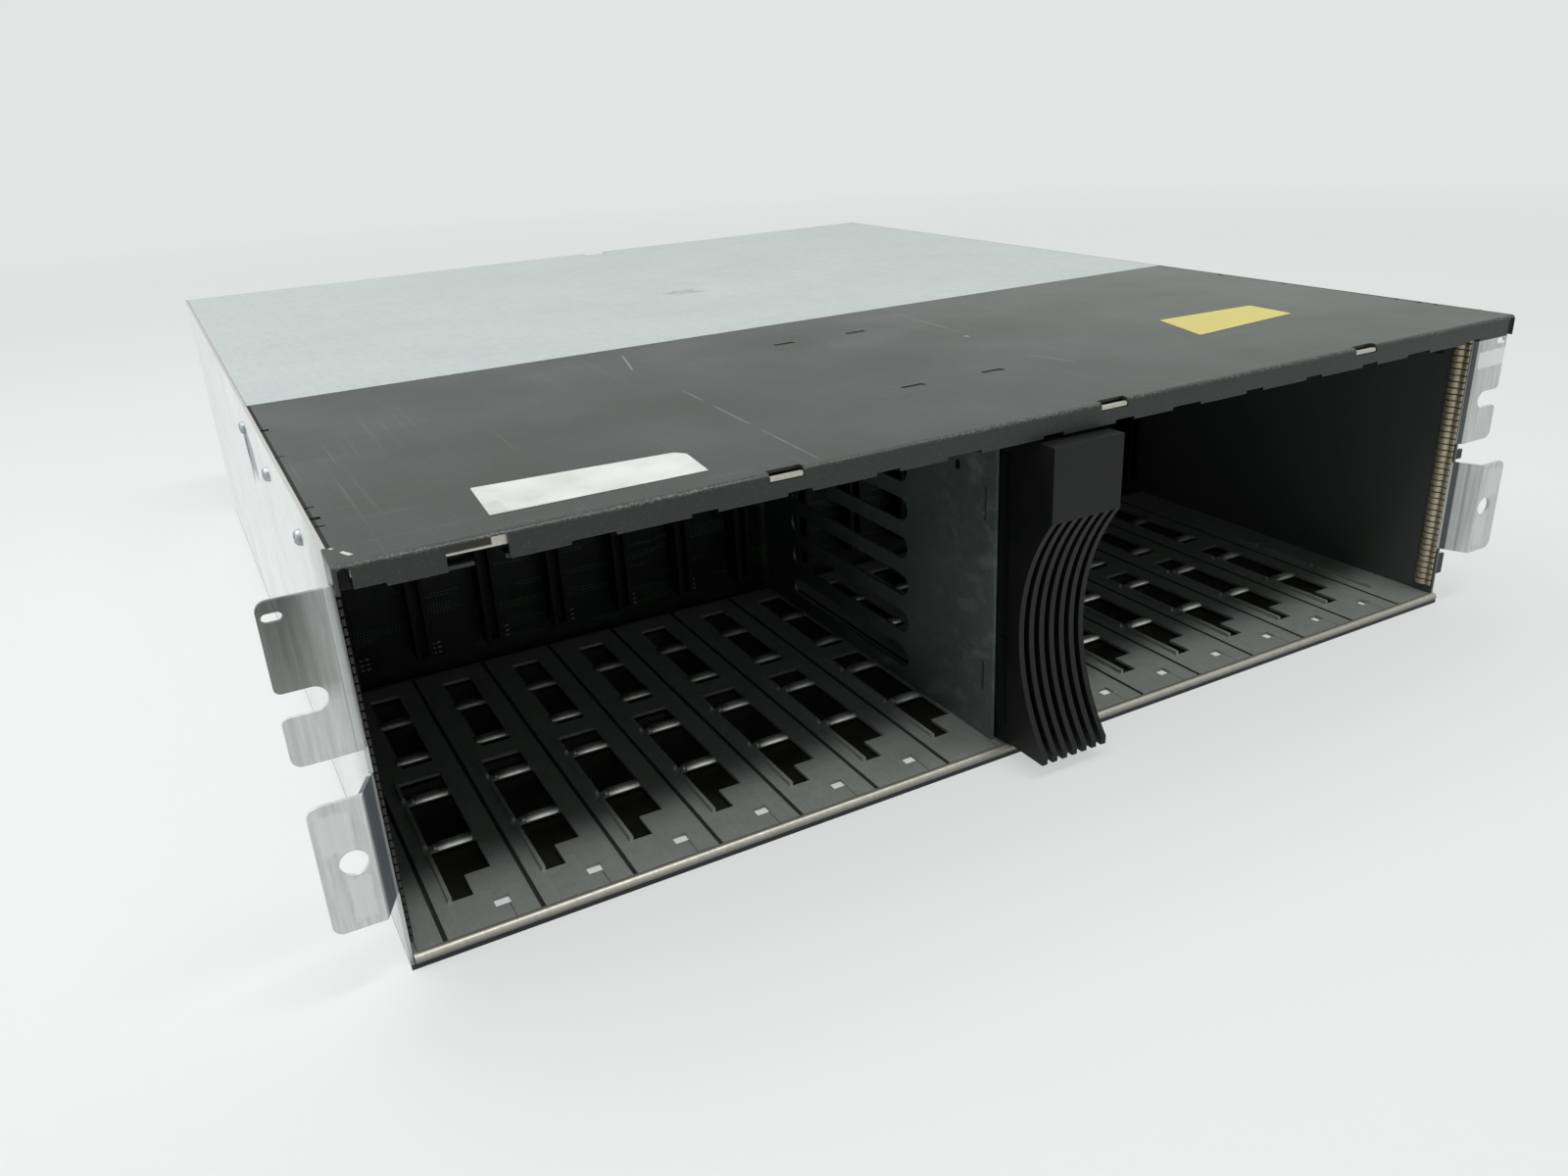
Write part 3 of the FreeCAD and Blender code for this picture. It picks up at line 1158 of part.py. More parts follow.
# Blower: ducted housing, motor on a spider, bladed wheel and finger guard
def blower(side):
    middle = BLOWER_MIDDLE if SIDES[side] > 0 else f"-{BLOWER_MIDDLE}"
    housing = new_body(f"{side}_blower_housing")
    half, rise = "blower_width / 2", f"{MODULE_HEIGHT} / 2"
    pad(housing, side + "_blower_outside", "XZ", "-blower_length", "0",
        lambda sketch: rectangle(sketch, f"-{half}", half, f"-{rise}", rise))

    def around_duct(sketch):
        rectangle(sketch, f"blower_wall - {half}", f"{half} - blower_wall", f"blower_wall - {rise}",
                  f"{rise} - blower_wall")
        circle(sketch, "0", "0", f"{BLOWER_BORE} + duct_wall")

    pocket(housing, side + "_around_duct", "XZ", "-blower_length", "-blower_face", around_duct)
    pocket(housing, side + "_bore", "XZ", "-blower_length", "0",
           lambda sketch: circle(sketch, "0", "0", BLOWER_BORE))
    arm, reach = "spider_arm / 2", f"{BLOWER_BORE} + duct_wall / 2"
    spider_front = "-spider_setback - spider_gauge"

    def spider(sketch):
        outline(sketch, [
            (f"-{arm}", f"-({reach})"), (arm, f"-({reach})"), (arm, f"-{arm}"), (reach, f"-{arm}"),
            (reach, arm), (arm, arm), (arm, reach), (f"-{arm}", reach), (f"-{arm}", arm),
            (f"-({reach})", arm), (f"-({reach})", f"-{arm}"), (f"-{arm}", f"-{arm}")])

    pad(housing, side + "_spider", "XZ", spider_front, "-spider_setback", spider)
    pad(housing, side + "_spider_seat", "XZ", spider_front, "-spider_setback",
        lambda sketch: circle(sketch, "0", "0", "motor_radius"))
    motor_face = f"{spider_front} - motor_length"
    motor = new_body(f"{side}_blower_motor")
    pad(motor, side + "_motor_can", "XZ", motor_face, spider_front,
        lambda sketch: circle(sketch, "0", "0", "motor_radius"))
    pad(motor, side + "_motor_shaft", "XZ", f"{motor_face} - shaft_length", motor_face,
        lambda sketch: circle(sketch, "0", "0", "shaft_radius"))
    parts = [housing, motor, impeller(side, motor_face), finger_guard(side)]
    for part in parts:
        place(part, middle, "chassis_depth", f"{MODULE_LOW} + {rise}")
    return parts


# Bladed wheel: a cup over the motor with swept, curved vanes
def impeller(side, motor_face):
    body = new_body(f"{side}_blower_impeller")
    back = f"{motor_face} - motor_gap"
    front = f"{back} - hub_face"
    cup = "motor_radius + motor_gap + hub_wall"
    rim = f"{motor_face} + motor_length - rim_gap"
    pad(body, side + "_hub", "XZ", front, rim, lambda sketch: circle(sketch, "0", "0", cup))
    pocket(body, side + "_hub_cup", "XZ", back, rim,
           lambda sketch: circle(sketch, "0", "0", "motor_radius + motor_gap"))
    pocket(body, side + "_hub_bore", "XZ", front, back,
           lambda sketch: circle(sketch, "0", "0", "shaft_radius + hinge_fit"))
    root = f"{cup} - hub_wall / 2"
    tip = f"sqrt({VANE_RADIUS} * {VANE_RADIUS} - vane_sweep * vane_sweep)"
    vane = pad(body, side + "_vane", "XZ", front, rim,
               lambda sketch: outline(sketch, [
                   (root, "0", "vane_curve", 1), (tip, "vane_sweep"),
                   (tip, "vane_sweep + vane_gauge", "vane_curve", -1), (root, "vane_gauge")]))
    vanes = body.newObject("PartDesign::PolarPattern", side + "_vanes")
    vanes.Originals = [vane]
    vanes.Axis = (origin_feature(body, "Y_Axis"), [""])
    vanes.Angle = 360
    vanes.setExpression("Occurrences", bound("blade_count"))
    body.Tip = vanes
    return body


# Finger guard: flat rings on crossed spokes, fixed to the housing's face
def finger_guard(side):
    body = new_body(f"{side}_blower_guard")
    spoke, reach = "guard_spoke / 2", f"{BLOWER_BORE} + guard_rim / 2"
    pad(body, side + "_spoke_level", "XZ", "0", "guard_gauge",
        lambda sketch: rectangle(sketch, f"-({reach})", reach, f"-{spoke}", spoke))
    pad(body, side + "_spoke_upright", "XZ", "0", "guard_gauge",
        lambda sketch: rectangle(sketch, f"-{spoke}", spoke, f"-({reach})", reach))

    def rings(sketch):
        circle(sketch, "0", "0", f"{BLOWER_BORE} + guard_rim")
        circle(sketch, "0", "0", BLOWER_BORE)
        for step in (1, 2, 3):
            middle = f"{BLOWER_BORE} - {step} * guard_pitch"
            circle(sketch, "0", "0", f"{middle} + guard_ring / 2")
            circle(sketch, "0", "0", f"{middle} - guard_ring / 2")

    pad(body, side + "_guard_rings", "XZ", "0", "guard_gauge", rings)
    return body


# Link module: case with lugs and pins for two ejector levers, and its port cages
def link_module(name, step):
    low = f"{MODULE_LOW} + {step} * {LINK_STEP}"
    case = module_case(f"{name}_link_case", f"2 * {LINK_HALF}", "link_height")
    first = "-cage_pitch / 2"
    half, rise = "(cage_width / 2 + cage_fit)", "(cage_height / 2 + cage_fit)"
    hole = pocket(case, name + "_cage_hole", "XZ", "-face_gauge", "0",
                  lambda sketch: rectangle(sketch, f"{first} - {half}", f"{first} + {half}",
                                           f"cage_level - {rise}", f"cage_level + {rise}"))
    repeat(case, name + "_cage_holes", hole, "X", "cage_pitch", "2")
    pivot = f"(lever_inset - {LINK_HALF})"
    middle = "link_height / 2"
    reach = "(lever_height / 2 + hinge_side_gap)"

    def lug_plan(sketch):
        rectangle(sketch, f"{pivot} - lever_lug_half", f"{pivot} + lever_lug_half", "0", "lug_reach")

    lug_starts = {"under": f"{middle} - {reach} - lever_lug", "over": f"{middle} + {reach}"}
    lugs = [pad(case, f"{name}_lug_{spot}", "XY", start, f"{start} + lever_lug", lug_plan)
            for spot, start in lug_starts.items()]
    pivot_pin = pad(case, name + "_pivot", "XY", f"{middle} - {reach}", f"{middle} + {reach}",
                    lambda sketch: circle(sketch, pivot, "handle_hinge_out", "hinge_radius"))
    mirror(case, name + "_lever_seats", lugs + [pivot_pin], "YZ")
    parts = [case, port_cages(name), ejector_lever(name, "left"), ejector_lever(name, "right")]
    for part in parts:
        place(part, "0", "chassis_depth", low)
    return parts


# Pair of bright port cages that stand through the link module's face
def port_cages(name):
    body = new_body(f"{name}_port_cages")
    first = "-cage_pitch / 2"
    half, rise = "cage_width / 2", "cage_height / 2"
    cage = pad(body, name + "_cage", "XZ", "-cage_length", "cage_proud",
               lambda sketch: rectangle(sketch, f"{first} - {half}", f"{first} + {half}",
                                        f"cage_level - {rise}", f"cage_level + {rise}"))
    repeat(body, name + "_cages", cage, "X", "cage_pitch", "2")
    mouth = pocket(body, name + "_mouth", "XZ", "cage_wall - cage_length", "cage_proud",
                   lambda sketch: rectangle(sketch, f"{first} - {half} + cage_wall",
                                            f"{first} + {half} - cage_wall",
                                            f"cage_level - {rise} + cage_wall",
                                            f"cage_level + {rise} - cage_wall"))
    repeat(body, name + "_mouths", mouth, "X", "cage_pitch", "2")
    return body


# Ejector lever that turns on an upright pin at one end of the link module
def ejector_lever(name, side):
    sign = SIDES[side]
    body = new_body(f"{name}_lever_{side}")
    pivot = f"(lever_inset - {LINK_HALF})" if sign < 0 else f"({LINK_HALF} - lever_inset)"
    heel, tip = f"{pivot} + {sign} * lever_heel", f"{pivot} - {sign} * {LEVER_LENGTH}"
    front, back = "handle_hinge_out - lever_gauge / 2", "handle_hinge_out + lever_gauge / 2"
    low, high = "(link_height - lever_height) / 2", "(link_height + lever_height) / 2"
    pad(body, f"{name}_{side}_bar", "XY", low, high, lambda sketch: rectangle(sketch, tip, heel, front, back))
    pocket(body, f"{name}_{side}_bore", "XY", low, high,
           lambda sketch: circle(sketch, pivot, "handle_hinge_out", "hinge_radius + hinge_fit"))
    end = value(tip)
    outer = value(back)
    round_edges(body, f"{name}_{side}_tip", "lever_gauge / 3", lambda edge: lies_on(edge, x=end, y=outer))
    return body


# Monitor module: case, dark display window and a push button
def monitor_module():
    case = module_case("monitor_case", f"2 * {LINK_HALF}", MONITOR_HEIGHT)
    middle = f"{MONITOR_HEIGHT} / 2"
    half, rise = "(display_width / 2)", "(display_height / 2)"

    def display(sketch, fit):
        rectangle(sketch, f"{DISPLAY_PLACE} - {half} - {fit}", f"{DISPLAY_PLACE} + {half} + {fit}",
                  f"{middle} - {rise} - {fit}", f"{middle} + {rise} + {fit}")

    pocket(case, "display_recess", "XZ", "-display_gauge", "0", lambda sketch: display(sketch, "display_fit"))
    pocket(case, "button_hole", "XZ", "-face_gauge", "0",
           lambda sketch: circle(sketch, BUTTON_PLACE, middle, "button_radius + button_fit"))
    window = new_body("display_window")
    pad(window, "display_pane", "XZ", "-display_gauge", "0", lambda sketch: display(sketch, "0"))
    button = new_body("monitor_button")
    collar = "-face_gauge - seat_gap"
    pad(button, "button_stem", "XZ", f"{collar} - button_tail", "button_proud",
        lambda sketch: circle(sketch, BUTTON_PLACE, middle, "button_radius"))
    pad(button, "button_collar_ring", "XZ", f"{collar} - button_collar_gauge", collar,
        lambda sketch: circle(sketch, BUTTON_PLACE, middle, "button_collar"))
    parts = [case, window, button]
    for part in parts:
        place(part, "0", "chassis_depth", MONITOR_LOW)
    return parts


nodes = [base_pan(), drive_guide_plate(), side_wall("left"), side_wall("right"), drive_bay_cover(),
         rear_top_cover(), centre_divider(), floor_edge_gasket(), lip_gasket(), finger_gasket("left"),
         finger_gasket("right"), cover_screws(), midplane_board(), drive_connectors(), module_connectors()]
nodes += rear_frame()
nodes += [blank_body(), blank_ground_clip()]
for side in SIDES:
    nodes += power_supply(side)
    nodes += blower(side)
for name, step in (("lower", 0), ("upper", 1)):
    nodes += link_module(name, step)
nodes += monitor_module()
doc.recompute()

# Every feature has to have worked, and every cut has to have removed something
for item in doc.Objects:
    if "Invalid" in item.State or "Error" in item.State:
        raise RuntimeError(f"{item.Name} failed: {item.State}")
    if item.isDerivedFrom("PartDesign::Pocket"):
        if item.Shape.Volume >= item.BaseFeature.Shape.Volume:
            raise RuntimeError(f"{item.Name} cuts nothing")
for node in nodes:
    if node.Shape.isNull() or not node.Shape.isValid():
        raise RuntimeError(f"{node.Label} has no valid shape")
for node in nodes:
    node.Shape.exportStep(f"parts/{node.Label}.step")
    box = node.Shape.BoundBox
    print(f"{node.Label}: {len(node.Shape.Solids)} solids, {node.Shape.Volume:.0f} mm3, "
          f"x {box.XMin:.1f} {box.XMax:.1f} y {box.YMin:.1f} {box.YMax:.1f} z {box.ZMin:.1f} {box.ZMax:.1f}")
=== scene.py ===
import bmesh
import bpy
import math
from mathutils import Matrix, Vector


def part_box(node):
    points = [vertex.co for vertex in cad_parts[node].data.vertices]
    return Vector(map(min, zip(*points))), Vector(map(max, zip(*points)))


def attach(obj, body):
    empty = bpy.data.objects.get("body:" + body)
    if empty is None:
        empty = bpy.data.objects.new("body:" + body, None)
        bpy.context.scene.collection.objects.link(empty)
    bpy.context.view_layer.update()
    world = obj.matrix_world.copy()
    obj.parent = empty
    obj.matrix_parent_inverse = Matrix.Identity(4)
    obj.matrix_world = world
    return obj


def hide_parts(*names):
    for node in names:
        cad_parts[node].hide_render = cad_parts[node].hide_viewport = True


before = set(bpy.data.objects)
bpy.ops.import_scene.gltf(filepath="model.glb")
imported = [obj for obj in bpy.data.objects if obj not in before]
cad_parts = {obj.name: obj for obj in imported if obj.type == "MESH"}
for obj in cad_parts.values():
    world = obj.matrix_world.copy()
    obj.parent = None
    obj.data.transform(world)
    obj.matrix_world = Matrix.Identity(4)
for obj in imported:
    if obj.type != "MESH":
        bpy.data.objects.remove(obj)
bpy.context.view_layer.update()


# Base pan: the folded tray that everything else stands on, cut from zinc-plated steel sheet. It shows
# at its front edge, through the small holes of the bay floor and from below. The module floor, the
# partitions and the shelves at the rear are spot welded to it and come from the same sheet.
def paint(red, green, blue):
    """A colour as a screen shows it, 0 to 255, as the linear values that a shader takes."""
    levels = (level / 255 for level in (red, green, blue))
    return (*(s / 12.92 if s <= 0.04045 else ((s + 0.055) / 1.055) ** 2.4 for s in levels), 1.0)


def plug(tree, node, values):
    """Sets a node's sockets, by number or by name, to plain values or to the outputs of other nodes."""
    for key, value in values:
        socket = node.inputs[key]
        if isinstance(value, bpy.types.NodeSocket):
            tree.links.new(value, socket)
        else:
            socket.default_value = value


def add(tree, kind, *values, **named):
    """A new node: small-letter names are its settings, capital ones its sockets, the rest go in order."""
    node = tree.nodes.new("ShaderNode" + kind)
    for name, value in named.items():
        if name[0].islower():
            setattr(node, name, value)
    plug(tree, node, enumerate(values))
    plug(tree, node, ((name.replace("_", " "), value) for name, value in named.items() if name[0].isupper()))
    return node


def reckon(tree, operation, first, second=0.0):
    return add(tree, "Math", first, second, operation=operation).outputs[0]


def product(tree, *factors):
    """The product of any number of masks or values."""
    result = factors[0]
    for factor in factors[1:]:
        result = reckon(tree, "MULTIPLY", result, factor)
    return result


def spread(tree, value, low, high, out_low=0.0, out_high=1.0):
    """Stretches a value's range from low..high to another, and stops at its ends."""
    return add(tree, "MapRange", Value=value, From_Min=low, From_Max=high,
               To_Min=out_low, To_Max=out_high).outputs[0]


def about(tree, value, scale):
    """A noise value turned to swing about nought by up to half its scale."""
    return reckon(tree, "MULTIPLY", reckon(tree, "SUBTRACT", value, 0.5), scale)


def mixed(tree, share, first, second):
    node = add(tree, "Mix", share, data_type="RGBA")
    plug(tree, node, ((6, first), (7, second)))
    return node.outputs[2]


def cloud(tree, place, scale, detail=3.0):
    return add(tree, "TexNoise", Vector=place, Scale=scale, Detail=detail).outputs[0]


def stretched(tree, place, scale, turn=0.0, detail=2.0):
    """Noise drawn out into streaks, with a scale for each axis and a turn about the upright one."""
    laid = add(tree, "Mapping", Vector=place, Rotation=(0.0, 0.0, turn), Scale=scale).outputs[0]
    return cloud(tree, laid, 1.0, detail)


def effect(name, takes, gives):
    """A node group for an effect that several finishes share, with its named inputs and outputs."""
    group = bpy.data.node_groups.new(name, "ShaderNodeTree")
    for label, kind in takes.items():
        group.interface.new_socket(label, in_out="INPUT", socket_type="NodeSocket" + kind)
    for label, kind in gives.items():
        group.interface.new_socket(label, in_out="OUTPUT", socket_type="NodeSocket" + kind)
    return group, group.nodes.new("NodeGroupInput").outputs, group.nodes.new("NodeGroupOutput")


def new_finish(name):
    """A new material with its tree, its shader and the place on the object that its patterns follow."""
    finish = bpy.data.materials.new(name)
    finish.use_nodes = True
    tree = finish.node_tree
    return finish, tree, tree.nodes["Principled BSDF"], add(tree, "TexCoord").outputs["Object"]


def relief(tree, height, depth):
    return add(tree, "Bump", Height=height, Distance=depth).outputs["Normal"]


def dress(finish, *names):
    for name in names:
        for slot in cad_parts[name].material_slots:
            slot.material = finish


zinc_bloom, sheet, bloom = effect(
    "zinc_bloom",
    {"Place": "Vector", "Dark": "Color", "Pale": "Color", "Spangle": "Float", "Bloom": "Float"},
    {"Color": "Color", "Roughness": "Float", "Height": "Float"})
warp = add(zinc_bloom, "TexNoise", Vector=sheet["Place"], Scale=90.0, Detail=4.0).outputs["Color"]
bent = add(zinc_bloom, "VectorMath", warp, (0.007, 0.007, 0.007), sheet["Place"], operation="MULTIPLY_ADD")
crystal = add(zinc_bloom, "TexVoronoi", Vector=bent.outputs[0], Scale=sheet["Spangle"]).outputs["Color"]
facet = add(zinc_bloom, "SeparateColor", crystal).outputs[0]
rolled = stretched(zinc_bloom, sheet["Place"], (900.0, 30.0, 30.0))
patch = cloud(zinc_bloom, sheet["Place"], 16.0, 6.0)
speck = cloud(zinc_bloom, sheet["Place"], 700.0, 3.0)
tone = reckon(zinc_bloom, "ADD", about(zinc_bloom, facet, 0.16), about(zinc_bloom, rolled, 0.35))
tone = reckon(zinc_bloom, "ADD", tone, about(zinc_bloom, speck, 0.4))
tone = reckon(zinc_bloom, "ADD", tone, about(zinc_bloom, patch, sheet["Bloom"]))
tone = spread(zinc_bloom, tone, -0.5, 0.5)
plug(zinc_bloom, bloom, (
    ("Color", mixed(zinc_bloom, tone, sheet["Dark"], sheet["Pale"])),
    ("Roughness", spread(zinc_bloom, tone, 0.0, 1.0, 0.52, 0.36)),
    ("Height", reckon(zinc_bloom, "ADD", rolled, product(zinc_bloom, facet, 0.3)))))


def plated(name, dark, pale, metallic=0.8, spangle=260.0, bloom_amount=0.8):
    """A finish of plated sheet steel between two tones."""
    finish, tree, shader, place = new_finish(name)
    skin = add(tree, "Group", node_tree=zinc_bloom, Place=place, Dark=dark, Pale=pale, Spangle=spangle,
               Bloom=bloom_amount).outputs
    plug(tree, shader, (("Base Color", skin["Color"]), ("Roughness", skin["Roughness"]),
                        ("Metallic", metallic), ("Normal", relief(tree, skin["Height"], 0.00002))))
    return finish, tree, shader, place, skin


front_shade_line = -0.0012
front_shade_blur = 0.0006
pan_finish, tree, shader, place, skin = plated("pan_zinc", paint(128, 131, 129), paint(176, 180, 178))
along = add(tree, "SeparateXYZ", place).outputs
# Painted shade: the pan's front edge strip is darkened in colour for the shadow below the front of the floor.
front_shade = spread(tree, along["Y"], front_shade_line, front_shade_line - front_shade_blur)
plug(tree, shader, (("Base Color", mixed(tree, front_shade, skin["Color"], paint(58, 58, 60))),))
dress(pan_finish, "base_pan")
dress(plated("frame_zinc", paint(140, 145, 145), paint(186, 191, 191))[0],
      "module_floor_plate", "left_partition", "right_partition", "lower_shelf", "upper_shelf")


# Shade sheet: a thin black sheet laid on the pan below the windows of the bay floor and held by the floor
# plate that lies on it; its black is painted shade for the dark depth of the windows. It is cut off behind
# the small front holes, which stay open.
def start_piece(name, primitive, **shape):
    """Adds a primitive as a new piece, with nothing else selected."""
    bpy.ops.object.select_all(action="DESELECT")
    primitive(**shape)
    piece = bpy.context.object
    piece.name = name
    return piece


def settle():
    """Moves the piece's place, turn and size into its mesh, so that its object sits at the origin."""
    bpy.ops.object.transform_apply(location=True, rotation=True, scale=True)


def apply(piece, kind, **settings):
    """Adds a modifier to the piece at hand and applies it."""
    modifier = piece.modifiers.new(kind.lower(), kind)
    for name, value in settings.items():
        setattr(modifier, name, value)
    bpy.ops.object.modifier_apply(modifier=modifier.name)


def round_off(offset, segments, **how):
    """Bevels every edge, or every corner, of the piece that was just added."""
    bpy.ops.object.mode_set(mode="EDIT")
    bpy.ops.mesh.bevel(offset=offset, segments=segments, **how)
    bpy.ops.object.mode_set(mode="OBJECT")


def fix_on(piece, finish, body):
    """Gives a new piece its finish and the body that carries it."""
    piece.data.materials.clear()
    piece.data.materials.append(finish)
    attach(piece, body)


plate_low, plate_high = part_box("drive_guide_plate")
pan_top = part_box("base_pan")[1].z
shade_sheet_gauge = 0.0004
shade_sheet_margin = 0.004
shade_sheet_front = 0.0174
shade_sheet_corner = 0.006
shade_sheet = start_piece("window_shade_sheet", bpy.ops.mesh.primitive_plane_add, size=1.0)
shade_sheet.scale = (plate_high.x - plate_low.x - 2 * shade_sheet_margin, plate_high.y - shade_sheet_margin - shade_sheet_front, 1.0)
shade_sheet.location = (0.0, (plate_high.y - shade_sheet_margin + shade_sheet_front) / 2, pan_top + shade_sheet_gauge)
settle()
round_off(shade_sheet_corner, 5, affect="VERTICES")
apply(shade_sheet, "SOLIDIFY", thickness=shade_sheet_gauge)
# The sheet's near-black colour is painted shade.
shade_sheet_finish, tree, shader, place = new_finish("film_black")
haze = cloud(tree, place, 60.0, 4.0)
plug(tree, shader, (("Base Color", mixed(tree, haze, paint(16, 16, 13), paint(34, 34, 28))),
                    ("Roughness", spread(tree, haze, 0.3, 0.7, 0.34, 0.52)),
                    ("Normal", relief(tree, cloud(tree, place, 35.0, 2.0), 0.0004))))
fix_on(shade_sheet, shade_sheet_finish, "chassis")


# Drive guide plate: the floor of the bays, stamped from plated sheet with its windows, bars, rails and
# grooves, and laid on the pan. The grooves are painted dark as shade, and a fine dark score line runs from
# every small hole to the front edge.
bay_pitch = 0.0294
left_bays = 7
right_bays = 8
plug_low, plug_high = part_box("drive_connectors")
half_plug = 0.0035
left_first = plug_low.x + half_plug
right_first = plug_high.x - half_plug - (right_bays - 1) * bay_pitch
divider_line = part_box("centre_divider")[0].x
groove_shift = -0.0062
groove_half = 0.0009
score_shift = 0.0150
score_half = 0.0003
score_back = 0.0085
floor_finish, tree, shader, place, skin = plated("floor_zinc", paint(140, 145, 141), paint(182, 187, 182),
                                                 metallic=0.3, bloom_amount=0.5)
along = add(tree, "SeparateXYZ", place).outputs


def off_line(tree, across, shift):
    """How far a place lies from the nearest of the lines that run through all bays at one shift."""
    right_side = reckon(tree, "GREATER_THAN", across, divider_line)
    first = spread(tree, right_side, 0.0, 1.0, left_first, right_first)
    in_bays = reckon(tree, "SUBTRACT", across, first)
    return reckon(tree, "PINGPONG", reckon(tree, "SUBTRACT", in_bays, shift), bay_pitch / 2)


grooved = spread(tree, off_line(tree, along["X"], groove_shift), groove_half, groove_half * 0.6)
scored = product(tree, spread(tree, off_line(tree, along["X"], score_shift), score_half, score_half * 0.3),
                 reckon(tree, "LESS_THAN", along["Y"], score_back))
# Painted shade darkens the grooves; the score lines are painted dark too.
groove_shade_and_scores = reckon(tree, "MAXIMUM", product(tree, grooved, 0.9), product(tree, scored, 0.6))
plug(tree, shader, (("Base Color", mixed(tree, groove_shade_and_scores, skin["Color"], paint(22, 24, 21))),))
dress(floor_finish, "drive_guide_plate")


# Window springs: crowned strips of bright spring steel snapped over the bars in the windows of the bay floor,
# which press up against the drives. The last bay on the right has no windows and so no springs.
def bowed_strip(name, width, rise, length, gauge, segments):
    """A strip bowed like a slat: its length along X, its edges at level nought and its crown upwards."""
    radius = (width * width / 4 + rise * rise) / (2 * rise)
    strip = start_piece(name, bpy.ops.mesh.primitive_cylinder_add, vertices=segments, radius=radius,
                        depth=length, end_fill_type="NOTHING", location=(0.0, 0.0, rise - radius),
                        rotation=(0.0, math.pi / 2, 0.0))
    settle()
    bpy.ops.object.mode_set(mode="EDIT")
    bpy.ops.mesh.select_all(action="SELECT")
    bpy.ops.mesh.bisect(plane_co=(0.0, 0.0, 0.0), plane_no=(0.0, 0.0, 1.0), clear_inner=True)
    bpy.ops.object.mode_set(mode="OBJECT")
    apply(strip, "SOLIDIFY", thickness=gauge, offset=-1.0)
    return strip


def copied(piece, place):
    """A copy of a piece with its own mesh, moved by a matrix."""
    copy = piece.copy()
    copy.data = piece.data.copy()
    copy.data.transform(place)
    bpy.context.scene.collection.objects.link(copy)
    return copy


def joined(name, pieces):
    """Several pieces as one, under one name."""
    bpy.ops.object.select_all(action="DESELECT")
    for piece in pieces:
        piece.select_set(True)
    bpy.context.view_layer.objects.active = pieces[0]
    bpy.ops.object.join()
    pieces[0].name = name
    return pieces[0]


def smooth_over():
    """Shades the piece at hand smooth, apart from its sharp edges."""
    bpy.ops.object.shade_smooth_by_angle(angle=math.radians(35))


plate_top = 0.0039
spring_width = 0.0047
spring_rise = 0.0013
spring_gauge = 0.0002
spring_length = 0.0112
spring_shift = 0.0083
spring_lines = (0.0493, 0.0813, 0.1105, 0.1415)
sheen_edge = 0.0056
sheen_core = 0.0018
shade_front = 0.085
shade_back = 0.145
bay_middles = [left_first + bay_pitch * bay for bay in range(left_bays)]
bay_middles += [right_first + bay_pitch * bay for bay in range(right_bays)]
spring = bowed_strip("window_spring", spring_width, spring_rise, spring_length, spring_gauge, 36)
springs = [copied(spring, Matrix.Translation((middle + spring_shift, line, plate_top)))
           for middle in bay_middles[:-1] for line in spring_lines]
bpy.data.objects.remove(spring)
springs = joined("window_springs", springs)
smooth_over()
spring_finish, tree, shader, place, skin = plated("spring_bright", paint(206, 208, 202), paint(250, 250, 246),
                                                  metallic=0.9, spangle=700.0)
along = add(tree, "SeparateXYZ", place).outputs
# Painted highlight in the middle of each spring, with painted shade at its ends and towards the back of the
# bays.
rub_and_painted_light = product(tree, spread(tree, off_line(tree, along["X"], spring_shift), sheen_edge, sheen_core, 0.25, 1.0),
                 spread(tree, along["Y"], shade_front, shade_back, 1.0, 0.35))
plug(tree, shader, (("Base Color", mixed(tree, rub_and_painted_light, paint(62, 64, 58), skin["Color"])),))
fix_on(springs, spring_finish, "chassis")


# Floor edge gasket and lip gasket: rolled strips of plated spring steel, clipped over the front edge of the
# floor plate and behind the lip of the cover. The rolled top edge keeps a pale painted highlight, and painted
# shade darkens the face below it, the foot, and the length of the upper strip that the gap in the lip lays
# open.
bead_low, bead_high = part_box("floor_edge_gasket")
bead_finish, tree, shader, place, skin = plated("bead_bright", paint(150, 147, 138), paint(206, 202, 190),
                                                metallic=0.75, spangle=500.0, bloom_amount=0.6)
along = add(tree, "SeparateXYZ", place).outputs
# Painted highlight: the rolled top keeps the pale tone, and painted shade darkens the face below it and the
# foot.
under_highlight = spread(tree, along["Z"], bead_high.z - 0.0008, bead_high.z - 0.0020)
shaded_foot = spread(tree, along["Z"], bead_low.z + 0.0010, bead_low.z + 0.0003)
colour = mixed(tree, product(tree, under_highlight, 0.75), skin["Color"], paint(112, 111, 104))
plug(tree, shader, (("Base Color", mixed(tree, shaded_foot, colour, paint(46, 46, 44))),))
dress(bead_finish, "floor_edge_gasket")
strip_finish, tree, shader, place, skin = plated("strip_bright", paint(168, 166, 158), paint(214, 211, 202),
                                                 spangle=500.0)
along = add(tree, "SeparateXYZ", place).outputs
gap_left = -0.2000
gap_right = -0.1850
gap_level = 0.1240
gap_blur = 0.0004
# Painted shade: the upper part of the strip in the gap of the lip is darkened.
darkened = product(tree, spread(tree, along["Z"], gap_level, gap_level + gap_blur),
                 spread(tree, along["X"], gap_right, gap_right - gap_blur),
                 spread(tree, along["X"], gap_left, gap_left + gap_blur))
colour = mixed(tree, product(tree, darkened, 0.93), skin["Color"], paint(24, 25, 23))
plug(tree, shader, (("Base Color", colour),))
dress(strip_finish, "lip_gasket")


